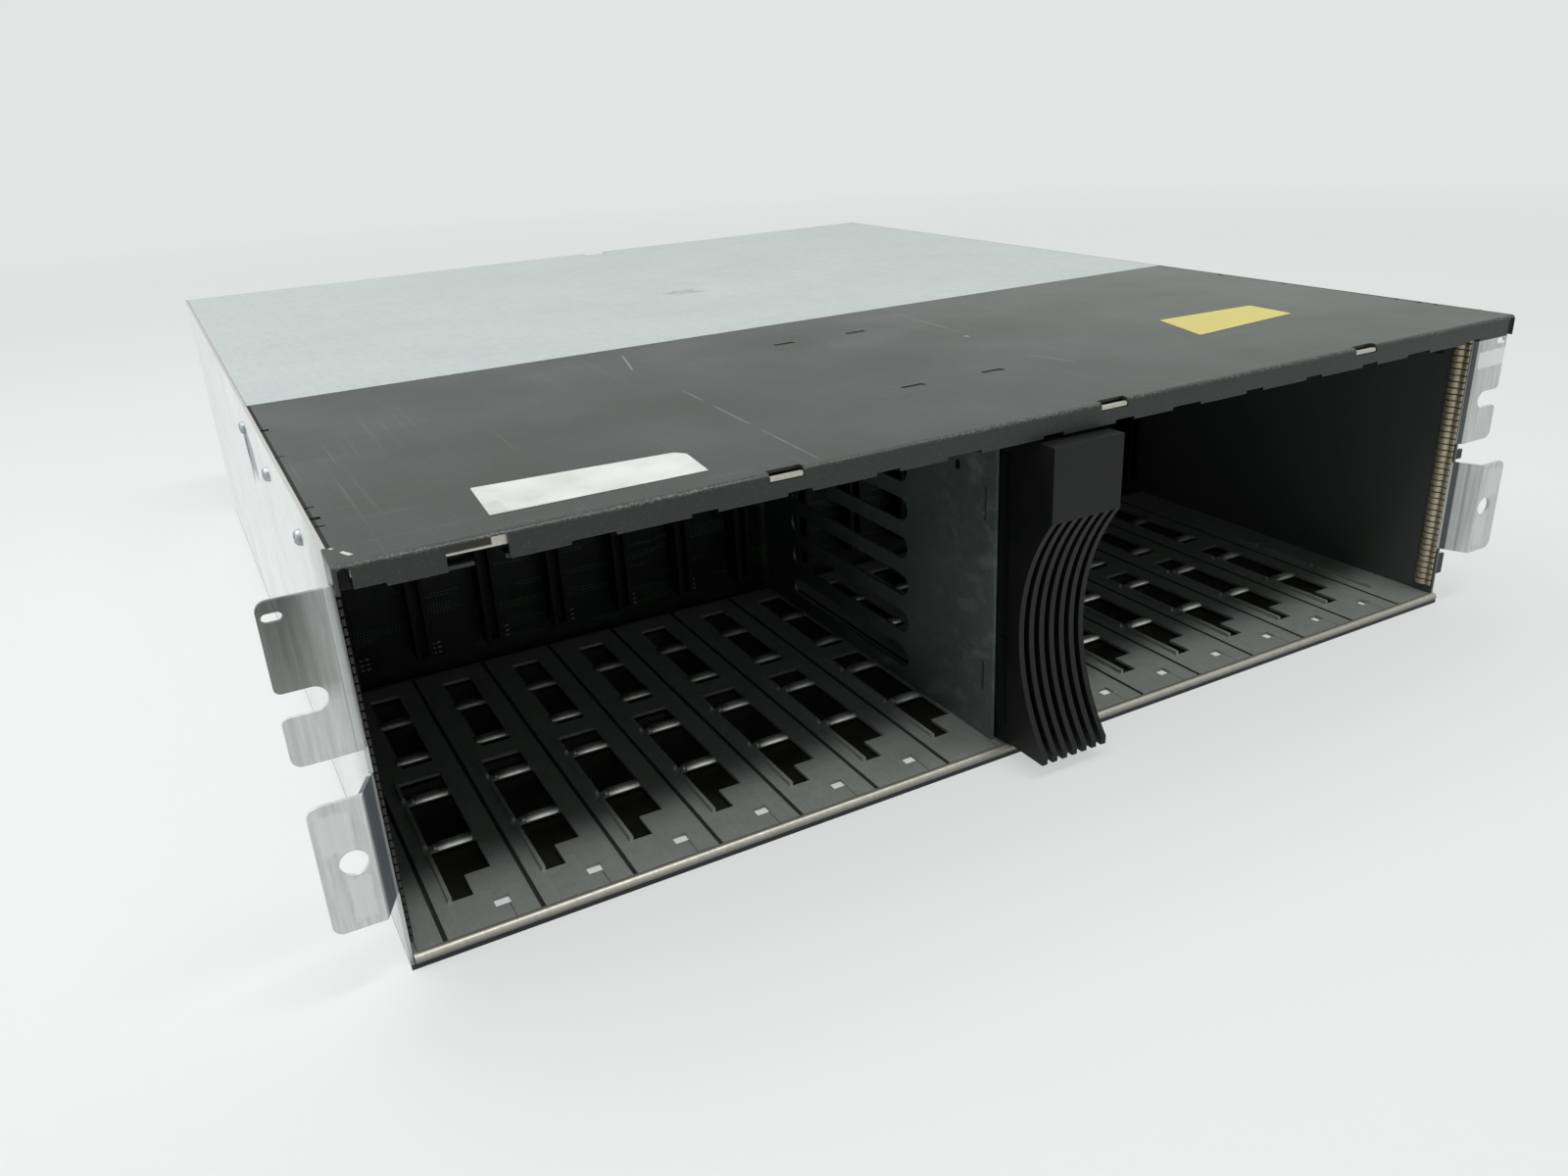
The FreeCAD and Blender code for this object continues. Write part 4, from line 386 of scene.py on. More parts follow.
# Side walls: folded from galvanised sheet, with the rack ears bent out at the front, and welded to the pan.
# The upper left ear is darker, more so towards its top, and the lower ears are rubbed paler where they have
# been bolted up. Painted shade darkens a patch round the slot behind the seam of the covers on the left,
# the inner faces and front edges, the bends of the ears, the offset face of the lower left ear and the front
# of each wall.
rub_patch, rub_and_painted_light, rub = effect("rub_patch", {"Place": "Vector", "Middle": "Vector", "Half": "Vector"},
                                {"Mask": "Float"})
away = add(rub_patch, "VectorMath", rub_and_painted_light["Place"], rub_and_painted_light["Middle"], operation="SUBTRACT").outputs[0]
away = add(rub_patch, "VectorMath", away, operation="ABSOLUTE").outputs[0]
away = add(rub_patch, "VectorMath", away, rub_and_painted_light["Half"], operation="DIVIDE").outputs[0]
sides = add(rub_patch, "SeparateXYZ", away).outputs
furthest = reckon(rub_patch, "MAXIMUM", reckon(rub_patch, "MAXIMUM", sides[0], sides[1]), sides[2])
ragged = about(rub_patch, cloud(rub_patch, rub_and_painted_light["Place"], 420.0, 5.0), 0.5)
plug(rub_patch, rub, (("Mask", spread(rub_patch, reckon(rub_patch, "ADD", furthest, ragged), 1.08, 0.9)),))


def patch_of(tree, place, middle, half):
    return add(tree, "Group", node_tree=rub_patch, Place=place, Middle=middle, Half=half).outputs["Mask"]


wall_inside = 0.2224
outer_line = 0.2236
edge_blur = 0.0002
ear_bend = 0.2252
bolted_patches = (((0.2357, -0.0095, 0.0552), (0.0042, 0.0025, 0.0062)),
                  ((0.2322, -0.0095, 0.0345), (0.0030, 0.0025, 0.0066)))
band_middle = (0.2335, 0.0, 0.1068)
band_half = (0.0095, 0.004, 0.0034)
slot_middle = (-0.2235, 0.1935, 0.1065)
shade_patch_reach = (0.0030, 0.0230, 0.0110)
nub_half = 0.0014
nub_levels = ((0.0125, 0.0225), (0.0645, 0.0695))
wall_finish, tree, shader, place, skin = plated("wall_zinc", paint(216, 219, 219), paint(252, 253, 253),
                                                metallic=0.35, bloom_amount=1.0)
along = add(tree, "SeparateXYZ", place).outputs
drawn = stretched(tree, place, (700.0, 700.0, 40.0), detail=4.0)
colour = skin["Color"]
outward = reckon(tree, "ABSOLUTE", along["X"])
on_ears = spread(tree, outward, ear_bend - 0.0004, ear_bend + 0.0003)
dirty = product(tree, on_ears, spread(tree, drawn, 0.35, 0.65, 0.65, 0.25))
colour = mixed(tree, dirty, colour, paint(178, 183, 181))
darker_upper_ear = product(tree, spread(tree, along["X"], -ear_bend, -ear_bend - 0.0006),
                  spread(tree, along["X"], -ear_bend - 0.0006, -ear_bend - 0.0090, 0.5, 1.0),
                  spread(tree, along["Z"], 0.0875, 0.0935), spread(tree, drawn, 0.3, 0.7, 1.0, 0.88))
darker_towards_top = mixed(tree, spread(tree, along["Z"], 0.094, 0.116), paint(124, 128, 122), paint(84, 88, 84))
colour = mixed(tree, darker_upper_ear, colour, darker_towards_top)
# Painted shade: a darker line along the bend of each ear.
bend_shade_line = spread(tree, reckon(tree, "ABSOLUTE", reckon(tree, "SUBTRACT", outward, ear_bend)), 0.0004, 0.0001)
colour = mixed(tree, product(tree, bend_shade_line, 0.5), colour, paint(110, 114, 114))
for ear in (-1, 1):
    for middle, half in bolted_patches:
        bare = patch_of(tree, place, (ear * middle[0], *middle[1:]), half)
        colour = mixed(tree, product(tree, bare, 0.75), colour, paint(226, 230, 230))
band = patch_of(tree, place, band_middle, band_half)
colour = mixed(tree, band, colour, paint(244, 246, 245))
# Painted shade: a dark patch round the slot behind the seam of the covers on the left.
from_slot = add(tree, "Mapping", Vector=place, vector_type="TEXTURE", Location=slot_middle,
                Scale=shade_patch_reach).outputs[0]
from_slot = add(tree, "VectorMath", from_slot, operation="LENGTH").outputs["Value"]
from_slot = reckon(tree, "ADD", from_slot, about(tree, cloud(tree, place, 120.0, 5.0), 0.8))
colour = mixed(tree, spread(tree, from_slot, 1.0, 0.6, 0.0, 0.7), colour, paint(70, 80, 102))
# Painted shade: the front part of each wall is darkened.
handling_and_front_shade = product(tree, spread(tree, along["Y"], 0.040, 0.002, 0.0, 0.55),
                  spread(tree, outward, ear_bend, ear_bend - 0.0006))
colour = mixed(tree, handling_and_front_shade, colour, paint(166, 171, 171))
# Painted shade on the offset face of the lower left ear.
shaded_offset_face = product(tree, spread(tree, along["Y"], -0.0006, -0.0014),
                      spread(tree, along["Y"], -0.0090, -0.0082),
                      spread(tree, along["X"], -0.2200, -0.2210), spread(tree, along["Z"], 0.0700, 0.0690))
colour = mixed(tree, product(tree, shaded_offset_face, 0.85), colour, paint(92, 100, 108))
cut_edge = spread(tree, along["Z"], 0.1272, 0.1274)
colour = mixed(tree, cut_edge, colour, paint(186, 184, 180))
# Painted shade: the inner faces of the walls are darkened.
inner_face_shade = spread(tree, outward, wall_inside + 0.0001, wall_inside - 0.0001)
colour = mixed(tree, inner_face_shade, colour, paint(92, 96, 93))
nubs = product(tree, spread(tree, along["X"], outer_line, outer_line + edge_blur),
               spread(tree, along["Y"], nub_half, nub_half - edge_blur),
               spread(tree, along["Y"], -nub_half, edge_blur - nub_half))
for low, high in nub_levels:
    nub = product(tree, nubs, spread(tree, along["Z"], low, low + edge_blur),
                  spread(tree, along["Z"], high, high - edge_blur))
    colour = mixed(tree, nub, colour, paint(44, 48, 52))
shaded_edge = product(tree, spread(tree, along["X"], wall_inside - edge_blur, wall_inside),
                      spread(tree, along["X"], outer_line + edge_blur, outer_line),
                      spread(tree, along["Y"], 0.0003, 0.0001))
colour = mixed(tree, product(tree, shaded_edge, 0.85), colour, paint(36, 40, 48))
plug(tree, shader, (("Base Color", colour),))
dress(wall_finish, "left_side_wall", "right_side_wall")


# Finger gaskets: strips of plated spring fingers, forty-two to a side, clipped along the inner edges of the
# walls so that the covers and the drives touch earth. Each finger is bowed inwards behind a narrow upright
# bead, with slits between. The right strip has a warm brass tone, and the left one is painted dark as shade.
finger_low, finger_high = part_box("right_finger_gasket")
finger_count = 42
finger_slit = 0.0005
finger_gauge = 0.0003
bead_width = 0.0018
bead_rise = 0.0010
bead_gap = 0.0005
bead_round = 0.00025
# The left strip's dark tones are painted shade; the right strip keeps its brass colour.
finger_tones = {"left": (paint(30, 30, 27), paint(54, 53, 48)),
                "right": (paint(168, 158, 132), paint(214, 204, 174))}
finger_pitch = (finger_high.z - finger_low.z) / finger_count
finger_start = finger_low.y + bead_width + bead_gap
finger = bowed_strip("spring_finger", finger_high.y - finger_start, finger_high.x - finger_low.x,
                     finger_pitch - finger_slit, finger_gauge, 32)
finger.data.transform(Matrix.Rotation(-math.pi / 2, 4, "Y"))
bead = start_piece("finger_bead", bpy.ops.mesh.primitive_cube_add, size=1.0)
bead.scale = (bead_rise, bead_width, finger_pitch - finger_slit)
settle()
round_off(bead_round, 2)
for side, turn in (("left", 1), ("right", -1)):
    parts = []
    for number in range(finger_count):
        level = finger_low.z + finger_pitch * (number + 0.5)
        seat = Matrix.Translation((-turn * finger_high.x, (finger_start + finger_high.y) / 2, level))
        parts.append(copied(finger, seat @ Matrix.Rotation(math.pi * (turn > 0), 4, "Z")))
        parts.append(copied(bead, Matrix.Translation((
            -turn * (finger_high.x - bead_rise / 2), finger_low.y + bead_width / 2, level))))
    fingers = joined(side + "_spring_fingers", parts)
    smooth_over()
    finger_finish = plated(side + "_finger_brass", *finger_tones[side], 0.45, 700.0, 0.5)[0]
    fix_on(fingers, finger_finish, "chassis")
    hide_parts(side + "_finger_gasket")
bpy.data.objects.remove(finger)
bpy.data.objects.remove(bead)


# Centre divider: a plate of bluish plated sheet with long slots for the cooling air, hooked into the floor
# plate and screwed to the cover. Old finger marks and drips cloud its open front, and it is darker towards
# the back.
divider_finish, tree, shader, place, skin = plated("divider_zinc", paint(92, 101, 100), paint(134, 144, 142),
                                                   metallic=0.45, bloom_amount=1.4)
along = add(tree, "SeparateXYZ", place).outputs
smears = product(tree, spread(tree, stretched(tree, place, (90.0, 90.0, 160.0), detail=4.0), 0.52, 0.68),
                 spread(tree, along["Y"], 0.045, 0.015))
colour = mixed(tree, product(tree, smears, 0.4), skin["Color"], paint(176, 182, 168))
# Darker towards the back.
darkened = spread(tree, along["Y"], 0.05, 0.15, 0.0, 0.75)
plug(tree, shader, (("Base Color", mixed(tree, darkened, colour, paint(38, 42, 42))),))
dress(divider_finish, "centre_divider")


# Midplane: a thick green circuit board across the back of the bays, with copper tracks and rows of plated
# holes under its lacquer. Black moulded connectors are soldered to both of its faces, with rows of small
# pale chips beside the ones for the drives.
board_finish, tree, shader, place = new_finish("board_green")
along = add(tree, "SeparateXYZ", place).outputs
hole_pitch = 0.00127
hole_across = reckon(tree, "PINGPONG", along["X"], hole_pitch / 2)
hole_up = reckon(tree, "PINGPONG", along["Z"], hole_pitch / 2)
hole_ring = reckon(tree, "SQRT", reckon(tree, "ADD", product(tree, hole_across, hole_across),
                                        product(tree, hole_up, hole_up)))
row = spread(tree, stretched(tree, place, (35.0, 35.0, 260.0), detail=0.0), 0.60, 0.62)
plated_hole = product(tree, spread(tree, hole_ring, 0.0004, 0.0003), row)
tracks = product(tree, spread(tree, stretched(tree, place, (1400.0, 1.0, 22.0)), 0.5, 0.56),
                 spread(tree, cloud(tree, place, 45.0, 1.0), 0.45, 0.5))
haze = cloud(tree, place, 30.0, 4.0)
lacquer = mixed(tree, haze, paint(3, 7, 5), paint(6, 14, 9))
lacquer = mixed(tree, product(tree, tracks, 0.6), lacquer, paint(10, 30, 18))
plug(tree, shader, (("Base Color", mixed(tree, plated_hole, lacquer, paint(70, 96, 68))),
                    ("Roughness", spread(tree, haze, 0.3, 0.7, 0.3, 0.42)), ("Specular IOR Level", 0.25),
                    ("Normal", relief(tree, tracks, 0.00003))))
dress(board_finish, "midplane_board", "left_converter_board", "right_converter_board")

moulded_grain, given, grain = effect(
    "moulded_grain", {"Place": "Vector", "Dark": "Color", "Pale": "Color", "Scale": "Float"},
    {"Color": "Color", "Roughness": "Float", "Height": "Float"})
fine = cloud(moulded_grain, given["Place"], given["Scale"], 3.0)
wide = cloud(moulded_grain, given["Place"], 30.0, 6.0)
handling_and_front_shade = spread(moulded_grain, wide, 0.3, 0.7)
plug(moulded_grain, grain, (
    ("Color", mixed(moulded_grain, handling_and_front_shade, given["Dark"], given["Pale"])),
    ("Roughness", spread(moulded_grain, handling_and_front_shade, 0.0, 1.0, 0.46, 0.6)),
    ("Height", fine)))


def moulded(name, dark, pale, scale=1800.0, gloss=0.5):
    """A finish of grained plastic between two tones."""
    finish, tree, shader, place = new_finish(name)
    skin = add(tree, "Group", node_tree=moulded_grain, Place=place, Dark=dark, Pale=pale, Scale=scale).outputs
    plug(tree, shader, (("Base Color", skin["Color"]), ("Roughness", skin["Roughness"]),
                        ("Specular IOR Level", gloss), ("Normal", relief(tree, skin["Height"], 0.00004))))
    return finish


dress(moulded("plug_black", paint(4, 4, 4), paint(9, 9, 9), gloss=0.2),
      "drive_connectors", "module_connectors")

chip_size = (0.0017, 0.0008, 0.0009)
chip_rows = 3
chip_columns = 2
chip_step = (0.0024, 0.0022)
chip_shift = 0.0052
chip_level = 0.0118
chip_round = 0.00015
board_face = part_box("midplane_board")[0].y
chip = start_piece("midplane_chips", bpy.ops.mesh.primitive_cube_add, size=1.0)
chip.scale = chip_size
settle()
round_off(chip_round, 2)
chips = []
for middle in bay_middles:
    for column in range(chip_columns):
        for level in range(chip_rows):
            chips.append(copied(chip, Matrix.Translation((
                middle + chip_shift + column * chip_step[0], board_face - chip_size[1] / 2,
                chip_level + level * chip_step[1]))))
bpy.data.objects.remove(chip)
chips = joined("midplane_chips", chips)
chip_finish = moulded("chip_pale", paint(120, 116, 104), paint(168, 164, 150), 3000.0)
fix_on(chips, chip_finish, "chassis")


# Rear modules: plated steel cases that slide in from behind, with motors, guards and port cages of steel.
# Their handles, levers, inlets, blowers, display window and button are moulded plastic.
dress(plated("case_zinc", paint(150, 154, 154), paint(200, 204, 204))[0],
      "left_supply_case", "right_supply_case", "lower_link_case", "upper_link_case", "monitor_case")
dress(moulded("inlet_black", paint(14, 14, 15), paint(24, 24, 25)), "left_power_inlet", "right_power_inlet")
dress(moulded("handle_grey", paint(52, 55, 58), paint(68, 71, 75)),
      "left_supply_handle", "right_supply_handle", "lower_lever_left", "lower_lever_right",
      "upper_lever_left", "upper_lever_right")
dress(moulded("blower_black", paint(24, 25, 27), paint(38, 39, 41)),
      "left_blower_housing", "right_blower_housing", "left_blower_impeller", "right_blower_impeller")
dress(plated("motor_steel", paint(84, 84, 86), paint(120, 120, 122))[0],
      "left_blower_motor", "right_blower_motor")
dress(plated("guard_steel", paint(160, 160, 160), paint(206, 206, 206), metallic=0.95)[0],
      "left_blower_guard", "right_blower_guard")
dress(plated("cage_steel", paint(166, 164, 158), paint(214, 211, 203), metallic=0.95)[0],
      "lower_port_cages", "upper_port_cages")
dress(moulded("window_dark", paint(14, 8, 8), paint(22, 12, 12)), "display_window")
dress(moulded("button_grey", paint(116, 118, 120), paint(134, 136, 138)), "monitor_button")


# Module fittings: knurled and slotted thumb screws of plated steel hold every rear module in its bay, and two
# small domed lenses, green and amber, are pressed into its face over the lamps that tell its state.
def pick(kind, chosen):
    """Selects, on the piece in edit mode, the edges or faces whose middle passes a test."""
    bpy.ops.mesh.select_mode(type={"edges": "EDGE", "faces": "FACE"}[kind])
    bpy.ops.mesh.select_all(action="DESELECT")
    shape = bmesh.from_edit_mesh(bpy.context.edit_object.data)
    for part in getattr(shape, kind):
        middle = sum((corner.co for corner in part.verts), Vector()) / len(part.verts)
        part.select_set(chosen(middle))
    shape.select_flush_mode()
    bmesh.update_edit_mesh(bpy.context.edit_object.data)


def cut_away(piece, block, **shape):
    """Cuts a block out of a piece."""
    cutter = start_piece("cutter", bpy.ops.mesh.primitive_cube_add, size=1.0, **shape)
    cutter.scale = block
    settle()
    bpy.ops.object.select_all(action="DESELECT")
    piece.select_set(True)
    bpy.context.view_layer.objects.active = piece
    apply(piece, "BOOLEAN", operation="DIFFERENCE", object=cutter)
    bpy.data.objects.remove(cutter)


rear_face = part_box("left_blower_housing")[1].y
thumb_radius = 0.0036
thumb_length = 0.0052
knurls = 30
knurl_land = 0.0001
knurl_depth = 0.0003
thumb_round = 0.0007
thumb_slot = (0.0100, 0.0030, 0.0011)
thumb = start_piece("thumb_screw", bpy.ops.mesh.primitive_cylinder_add, vertices=knurls, radius=thumb_radius,
                    depth=thumb_length, location=(0.0, thumb_length / 2, 0.0),
                    rotation=(math.pi / 2, 0.0, 0.0))
settle()
bpy.ops.object.mode_set(mode="EDIT")
pick("edges", lambda middle: middle.y > thumb_length * 0.99)
bpy.ops.mesh.bevel(offset=thumb_round, segments=3)
pick("faces", lambda middle: math.hypot(middle.x, middle.z) > thumb_radius * 0.98)
bpy.ops.mesh.inset(thickness=knurl_land, depth=-knurl_depth, use_individual=True)
bpy.ops.object.mode_set(mode="OBJECT")
cut_away(thumb, thumb_slot, location=(0.0, thumb_length, 0.0))

lens_radius = 0.0016
lens_height = 0.0014
lens_round = 0.0011
lens = start_piece("lamp_lens", bpy.ops.mesh.primitive_cylinder_add, vertices=24, radius=lens_radius,
                   depth=lens_height, location=(0.0, lens_height / 2, 0.0), rotation=(math.pi / 2, 0.0, 0.0))
settle()
bpy.ops.object.mode_set(mode="EDIT")
pick("edges", lambda middle: middle.y > lens_height * 0.99)
bpy.ops.mesh.bevel(offset=lens_round, segments=5)
bpy.ops.object.mode_set(mode="OBJECT")

thumb_finish = plated("thumb_steel", paint(150, 152, 154), paint(206, 208, 210), 0.9, 900.0)[0]
ready_finish = moulded("lens_green", paint(38, 92, 52), paint(58, 118, 70), 3000.0)
fault_finish = moulded("lens_amber", paint(150, 92, 24), paint(184, 120, 44), 3000.0)
next_turn = 0.9


def fit_out(module, thumbs, ready, fault):
    """Thumb screws and lenses for one module, at places across and up on its face."""
    for name, shape, places, finish, slot in (
            ("thumb_screws", thumb, thumbs, thumb_finish, "screw_steel"),
            ("ready_lens", lens, ready, ready_finish, "window_dark"),
            ("fault_lens", lens, fault, fault_finish, "window_dark")):
        copies = [copied(shape, Matrix.Translation((across, rear_face, level))
                         @ Matrix.Rotation(next_turn * number, 4, "Y"))
                  for number, (across, level) in enumerate(places)]
        piece = joined(f"{module}_{name}", copies)
        smooth_over()
        fix_on(piece, finish, module)


supply_middle = 0.1926
supply_level = 0.0472
supply_screw = 0.021
supply_lens = 0.004
blower_middle = 0.1194
blower_low = 0.0125
blower_high = 0.1175
blower_screw = 0.035
blower_ready = 0.034
blower_fault = 0.027
for side, sign in (("left", -1), ("right", 1)):
    supply = sign * supply_middle
    blower = sign * blower_middle
    fit_out(side + "_supply", [(supply - supply_screw, supply_level), (supply + supply_screw, supply_level)],
            [(supply - supply_lens, supply_level)], [(supply + supply_lens, supply_level)])
    fit_out(side + "_blower", [(blower - blower_screw, blower_low), (blower + blower_screw, blower_high)],
            [(blower + blower_ready, blower_low)], [(blower + blower_fault, blower_low)])
centre_screw = 0.0665
link_screw_rise = 0.0075
link_lens_rise = 0.0310
port_middle = 0.0120
port_lens = 0.0030
for module, low in (("lower_link", 0.0042), ("upper_link", 0.0433)):
    thumb_level = low + link_screw_rise
    lens_level = low + link_lens_rise
    fit_out(module, [(-centre_screw, thumb_level), (centre_screw, thumb_level)],
            [(port - port_lens, lens_level) for port in (-port_middle, port_middle)],
            [(port + port_lens, lens_level) for port in (-port_middle, port_middle)])
monitor_screw_level = 0.0900
monitor_lens_level = 0.1042
monitor_ready = 0.0120
monitor_fault = 0.0200
fit_out("monitor", [(-centre_screw, monitor_screw_level), (centre_screw, monitor_screw_level)],
        [(monitor_ready, monitor_lens_level)], [(monitor_fault, monitor_lens_level)])
bpy.data.objects.remove(thumb)
bpy.data.objects.remove(lens)


# Rear top cover: pale bluish plated sheet, folded down at both sides and screwed to the walls. It lies
# against the drive bay cover in a straight seam, and has a faint old mark near its middle.
lid_finish, tree, shader, place, skin = plated("cover_zinc", paint(170, 179, 177), paint(198, 205, 204),
                                               metallic=0.35, bloom_amount=0.6)
mark_middle = (0.0019, 0.288, 0.1275)
mark_half = (0.010, 0.006, 0.002)
old_mark = patch_of(tree, place, mark_middle, mark_half)
ring = product(tree, old_mark, spread(tree, cloud(tree, place, 220.0, 4.0), 0.4, 0.6))
colour = mixed(tree, product(tree, ring, 0.8), skin["Color"], paint(138, 145, 145))
plug(tree, shader, (("Base Color", colour),))
dress(lid_finish, "rear_top_cover")


# Drive bay cover: steel sheet folded into a notched lip along the front, under a fine satin black paint.
# The paint is paler in clouds towards the right and the back, scratched by years of stacking, and worn to the
# metal in flecks along the fold. Painted light brightens the pressed dimples, and a painted shadow line runs
# along each side edge. A pad of black foam stops the open slot at each end of the lip, sunk deep on the left
# and nearly flush on the right.
scuffs, laid, scuff = effect("scuffs", {"Place": "Vector"}, {"Mask": "Float"})
sparse = spread(scuffs, cloud(scuffs, laid["Place"], 18.0, 3.0), 0.46, 0.62)
streak = stretched(scuffs, laid["Place"], (10.0, 1000.0, 10.0), turn=0.5)
cross_streak = stretched(scuffs, laid["Place"], (900.0, 9.0, 9.0), turn=0.25)
streaks = reckon(scuffs, "MAXIMUM", spread(scuffs, streak, 0.63, 0.70),
                 spread(scuffs, cross_streak, 0.64, 0.70))
plug(scuffs, scuff, (("Mask", product(scuffs, streaks, sparse)),))

edge_wear, worn, wear = effect("edge_wear", {"Place": "Vector", "Width": "Float", "Cover": "Float"},
                               {"Mask": "Float"})
rounded = add(edge_wear, "Bevel", samples=4, Radius=worn["Width"]).outputs["Normal"]
flat = add(edge_wear, "NewGeometry").outputs["Normal"]
agree = add(edge_wear, "VectorMath", rounded, flat, operation="DOT_PRODUCT").outputs["Value"]
chipped = reckon(edge_wear, "ADD", cloud(edge_wear, worn["Place"], 700.0, 4.0), worn["Cover"])
chipped = spread(edge_wear, chipped, 0.95, 1.15)
plug(edge_wear, wear, (("Mask", product(edge_wear, spread(edge_wear, agree, 0.98, 0.9), chipped)),))

cover_low, cover_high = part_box("drive_bay_cover")
cover_top = cover_high.z
fold_depth = 0.0014
cover_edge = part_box("rear_top_cover")[1].x
cover_finish, tree, shader, place = new_finish("cover_black")
along = add(tree, "SeparateXYZ", place).outputs
haze = cloud(tree, place, 22.0, 6.0)
grain = cloud(tree, place, 1100.0, 2.0)


def stroke(start, end, width):
    """The mask of one straight scratch on top of the cover, between two places in plan."""
    run = Vector(end) - Vector(start)
    middle = (Vector(start) + Vector(end)) / 2
    lined_up = add(tree, "Mapping", Vector=place, vector_type="TEXTURE", Location=(*middle, cover_top),
                   Rotation=(0.0, 0.0, math.atan2(-run.x, run.y))).outputs[0]
    return patch_of(tree, lined_up, (0.0, 0.0, 0.0), (width / 2, run.length / 2, 0.001))


colour = mixed(tree, haze, paint(23, 28, 24), paint(33, 39, 34))
colour = mixed(tree, spread(tree, grain, 0.55, 0.75, 0.0, 0.12), colour, paint(110, 114, 108))
# Paler in clouds towards the right and the back.
paler_right_and_back = product(tree, spread(tree, along["X"], 0.0, 0.19), spread(tree, along["Y"], -0.013, 0.10, 0.5, 1.0),
                spread(tree, haze, 0.3, 0.6, 0.75, 1.0),
                spread(tree, along["Z"], cover_top - 0.001, cover_top))
colour = mixed(tree, product(tree, paler_right_and_back, 0.42), colour, paint(96, 100, 94))
upper = spread(tree, along["Z"], cover_top - 0.0004, cover_top - 0.0002)
marks = product(tree, add(tree, "Group", node_tree=scuffs, Place=place).outputs["Mask"], upper, 0.07)
faint = spread(tree, cloud(tree, place, 45.0), 0.35, 0.6, 0.04, 0.22)
broken = spread(tree, cloud(tree, place, 90.0), 0.4, 0.62, 0.0, 0.16)
for start, end, width, strength in (
        ((-0.0818, 0.1609), (-0.0880, 0.1350), 0.0010, 0.22),
        ((-0.0867, 0.0892), (-0.0894, -0.0105), 0.0009, broken),
        ((0.0493, 0.1652), (0.0451, 0.1061), 0.0009, broken),
        ((0.0418, 0.0992), (0.0426, 0.0970), 0.0013, 0.5),
        ((0.0389, 0.0549), (0.0439, 0.0352), 0.0008, 0.16),
        ((-0.2195, -0.0048), (-0.2178, -0.0084), 0.0012, 1.0),
        ((-0.2216, -0.0006), (-0.2210, -0.0016), 0.0009, 0.8)):
    marks = reckon(tree, "MAXIMUM", marks, product(tree, stroke(start, end, width), strength))
colour = mixed(tree, marks, colour, paint(196, 198, 192))
on_fold = product(tree, spread(tree, along["Y"], cover_low.y + fold_depth, cover_low.y + fold_depth / 2),
                  spread(tree, along["Z"], cover_top - fold_depth, cover_top - fold_depth / 2))
flecks = product(tree, on_fold, spread(tree, cloud(tree, place, 1600.0, 3.0), 0.5, 0.6), faint)
bare = add(tree, "Group", node_tree=edge_wear, Place=place, Width=0.0006, Cover=0.46).outputs["Mask"]
colour = mixed(tree, reckon(tree, "MAXIMUM", flecks, product(tree, bare, 0.12)), colour,
               paint(176, 176, 168))
shadow_line = spread(tree, reckon(tree, "ABSOLUTE", along["X"]), cover_edge - 0.0012, cover_edge - 0.0008)
on_top = product(tree, shadow_line, reckon(tree, "GREATER_THAN", along["Y"], 0.0))
colour = mixed(tree, product(tree, on_top, 0.9), colour, paint(8, 9, 9))
# Painted light: the pressed dimples are brightened.
painted_light_in_dimples = product(tree, spread(tree, along["Z"], cover_top - 0.0001, cover_top - 0.0003),
                  reckon(tree, "LESS_THAN", reckon(tree, "ABSOLUTE", along["X"]), 0.1),
                  reckon(tree, "GREATER_THAN", along["Y"], 0.0))
colour = mixed(tree, product(tree, painted_light_in_dimples, 0.25), colour, paint(150, 154, 148))
satin = reckon(tree, "MAXIMUM", spread(tree, haze, 0.3, 0.7, 0.36, 0.46), product(tree, on_top, 0.95))
plug(tree, shader, (("Base Color", colour), ("Roughness", satin), ("Normal", relief(tree, grain, 0.00006))))
dress(cover_finish, "drive_bay_cover")

pad_middle = 0.2209
pad_size = (0.0031, 0.0016, 0.0062)
pad_drop = 0.0011
pad_round = 0.0004
pads = []
for side, setback in ((-1, 0.0024), (1, 0.0002)):
    pads.append(start_piece("lip_end_pad", bpy.ops.mesh.primitive_cube_add, size=1.0, location=(
        side * pad_middle, cover_low.y + setback + pad_size[1] / 2, cover_top - pad_drop - pad_size[2] / 2)))
    pads[-1].scale = pad_size
    settle()
    round_off(pad_round, 3)
fix_on(joined("lip_end_pads", pads), moulded("pad_black", paint(4, 4, 4), paint(9, 9, 9), 2500.0, 0.2),
       "chassis")


# Cover screws: plated pan heads with a cross recess, three to a side, driven through the walls into the
# flanges of the covers. The plain heads of the solids, which they replace, give the face of the wall.
screw_low, screw_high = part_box("cover_screws")
solid_radius = (screw_high.z - screw_low.z) / 2
solid_height = 0.0022
head_radius = 0.0024
head_height = 0.0020
head_dome = 0.0015
recess = (0.0024, 0.0030, 0.0007)
first_driven = 0.6
next_driven = 1.1
wall_face = screw_high.x - solid_height
head = start_piece("screw_head", bpy.ops.mesh.primitive_cylinder_add, vertices=32, radius=head_radius,
                   depth=head_height, location=(head_height / 2, 0.0, 0.0), rotation=(0.0, math.pi / 2, 0.0))
settle()
bpy.ops.object.mode_set(mode="EDIT")
pick("edges", lambda middle: middle.x > head_height * 0.99)
bpy.ops.mesh.bevel(offset=head_dome, segments=6)
bpy.ops.object.mode_set(mode="OBJECT")
for turn in (0.0, math.pi / 2):
    cut_away(head, recess, location=(head_height, 0.0, 0.0), rotation=(turn, 0.0, 0.0))
heads = []
screw_rows = (screw_low.y + solid_radius, (screw_low.y + screw_high.y) / 2, screw_high.y - solid_radius)
screw_level = (screw_low.z + screw_high.z) / 2
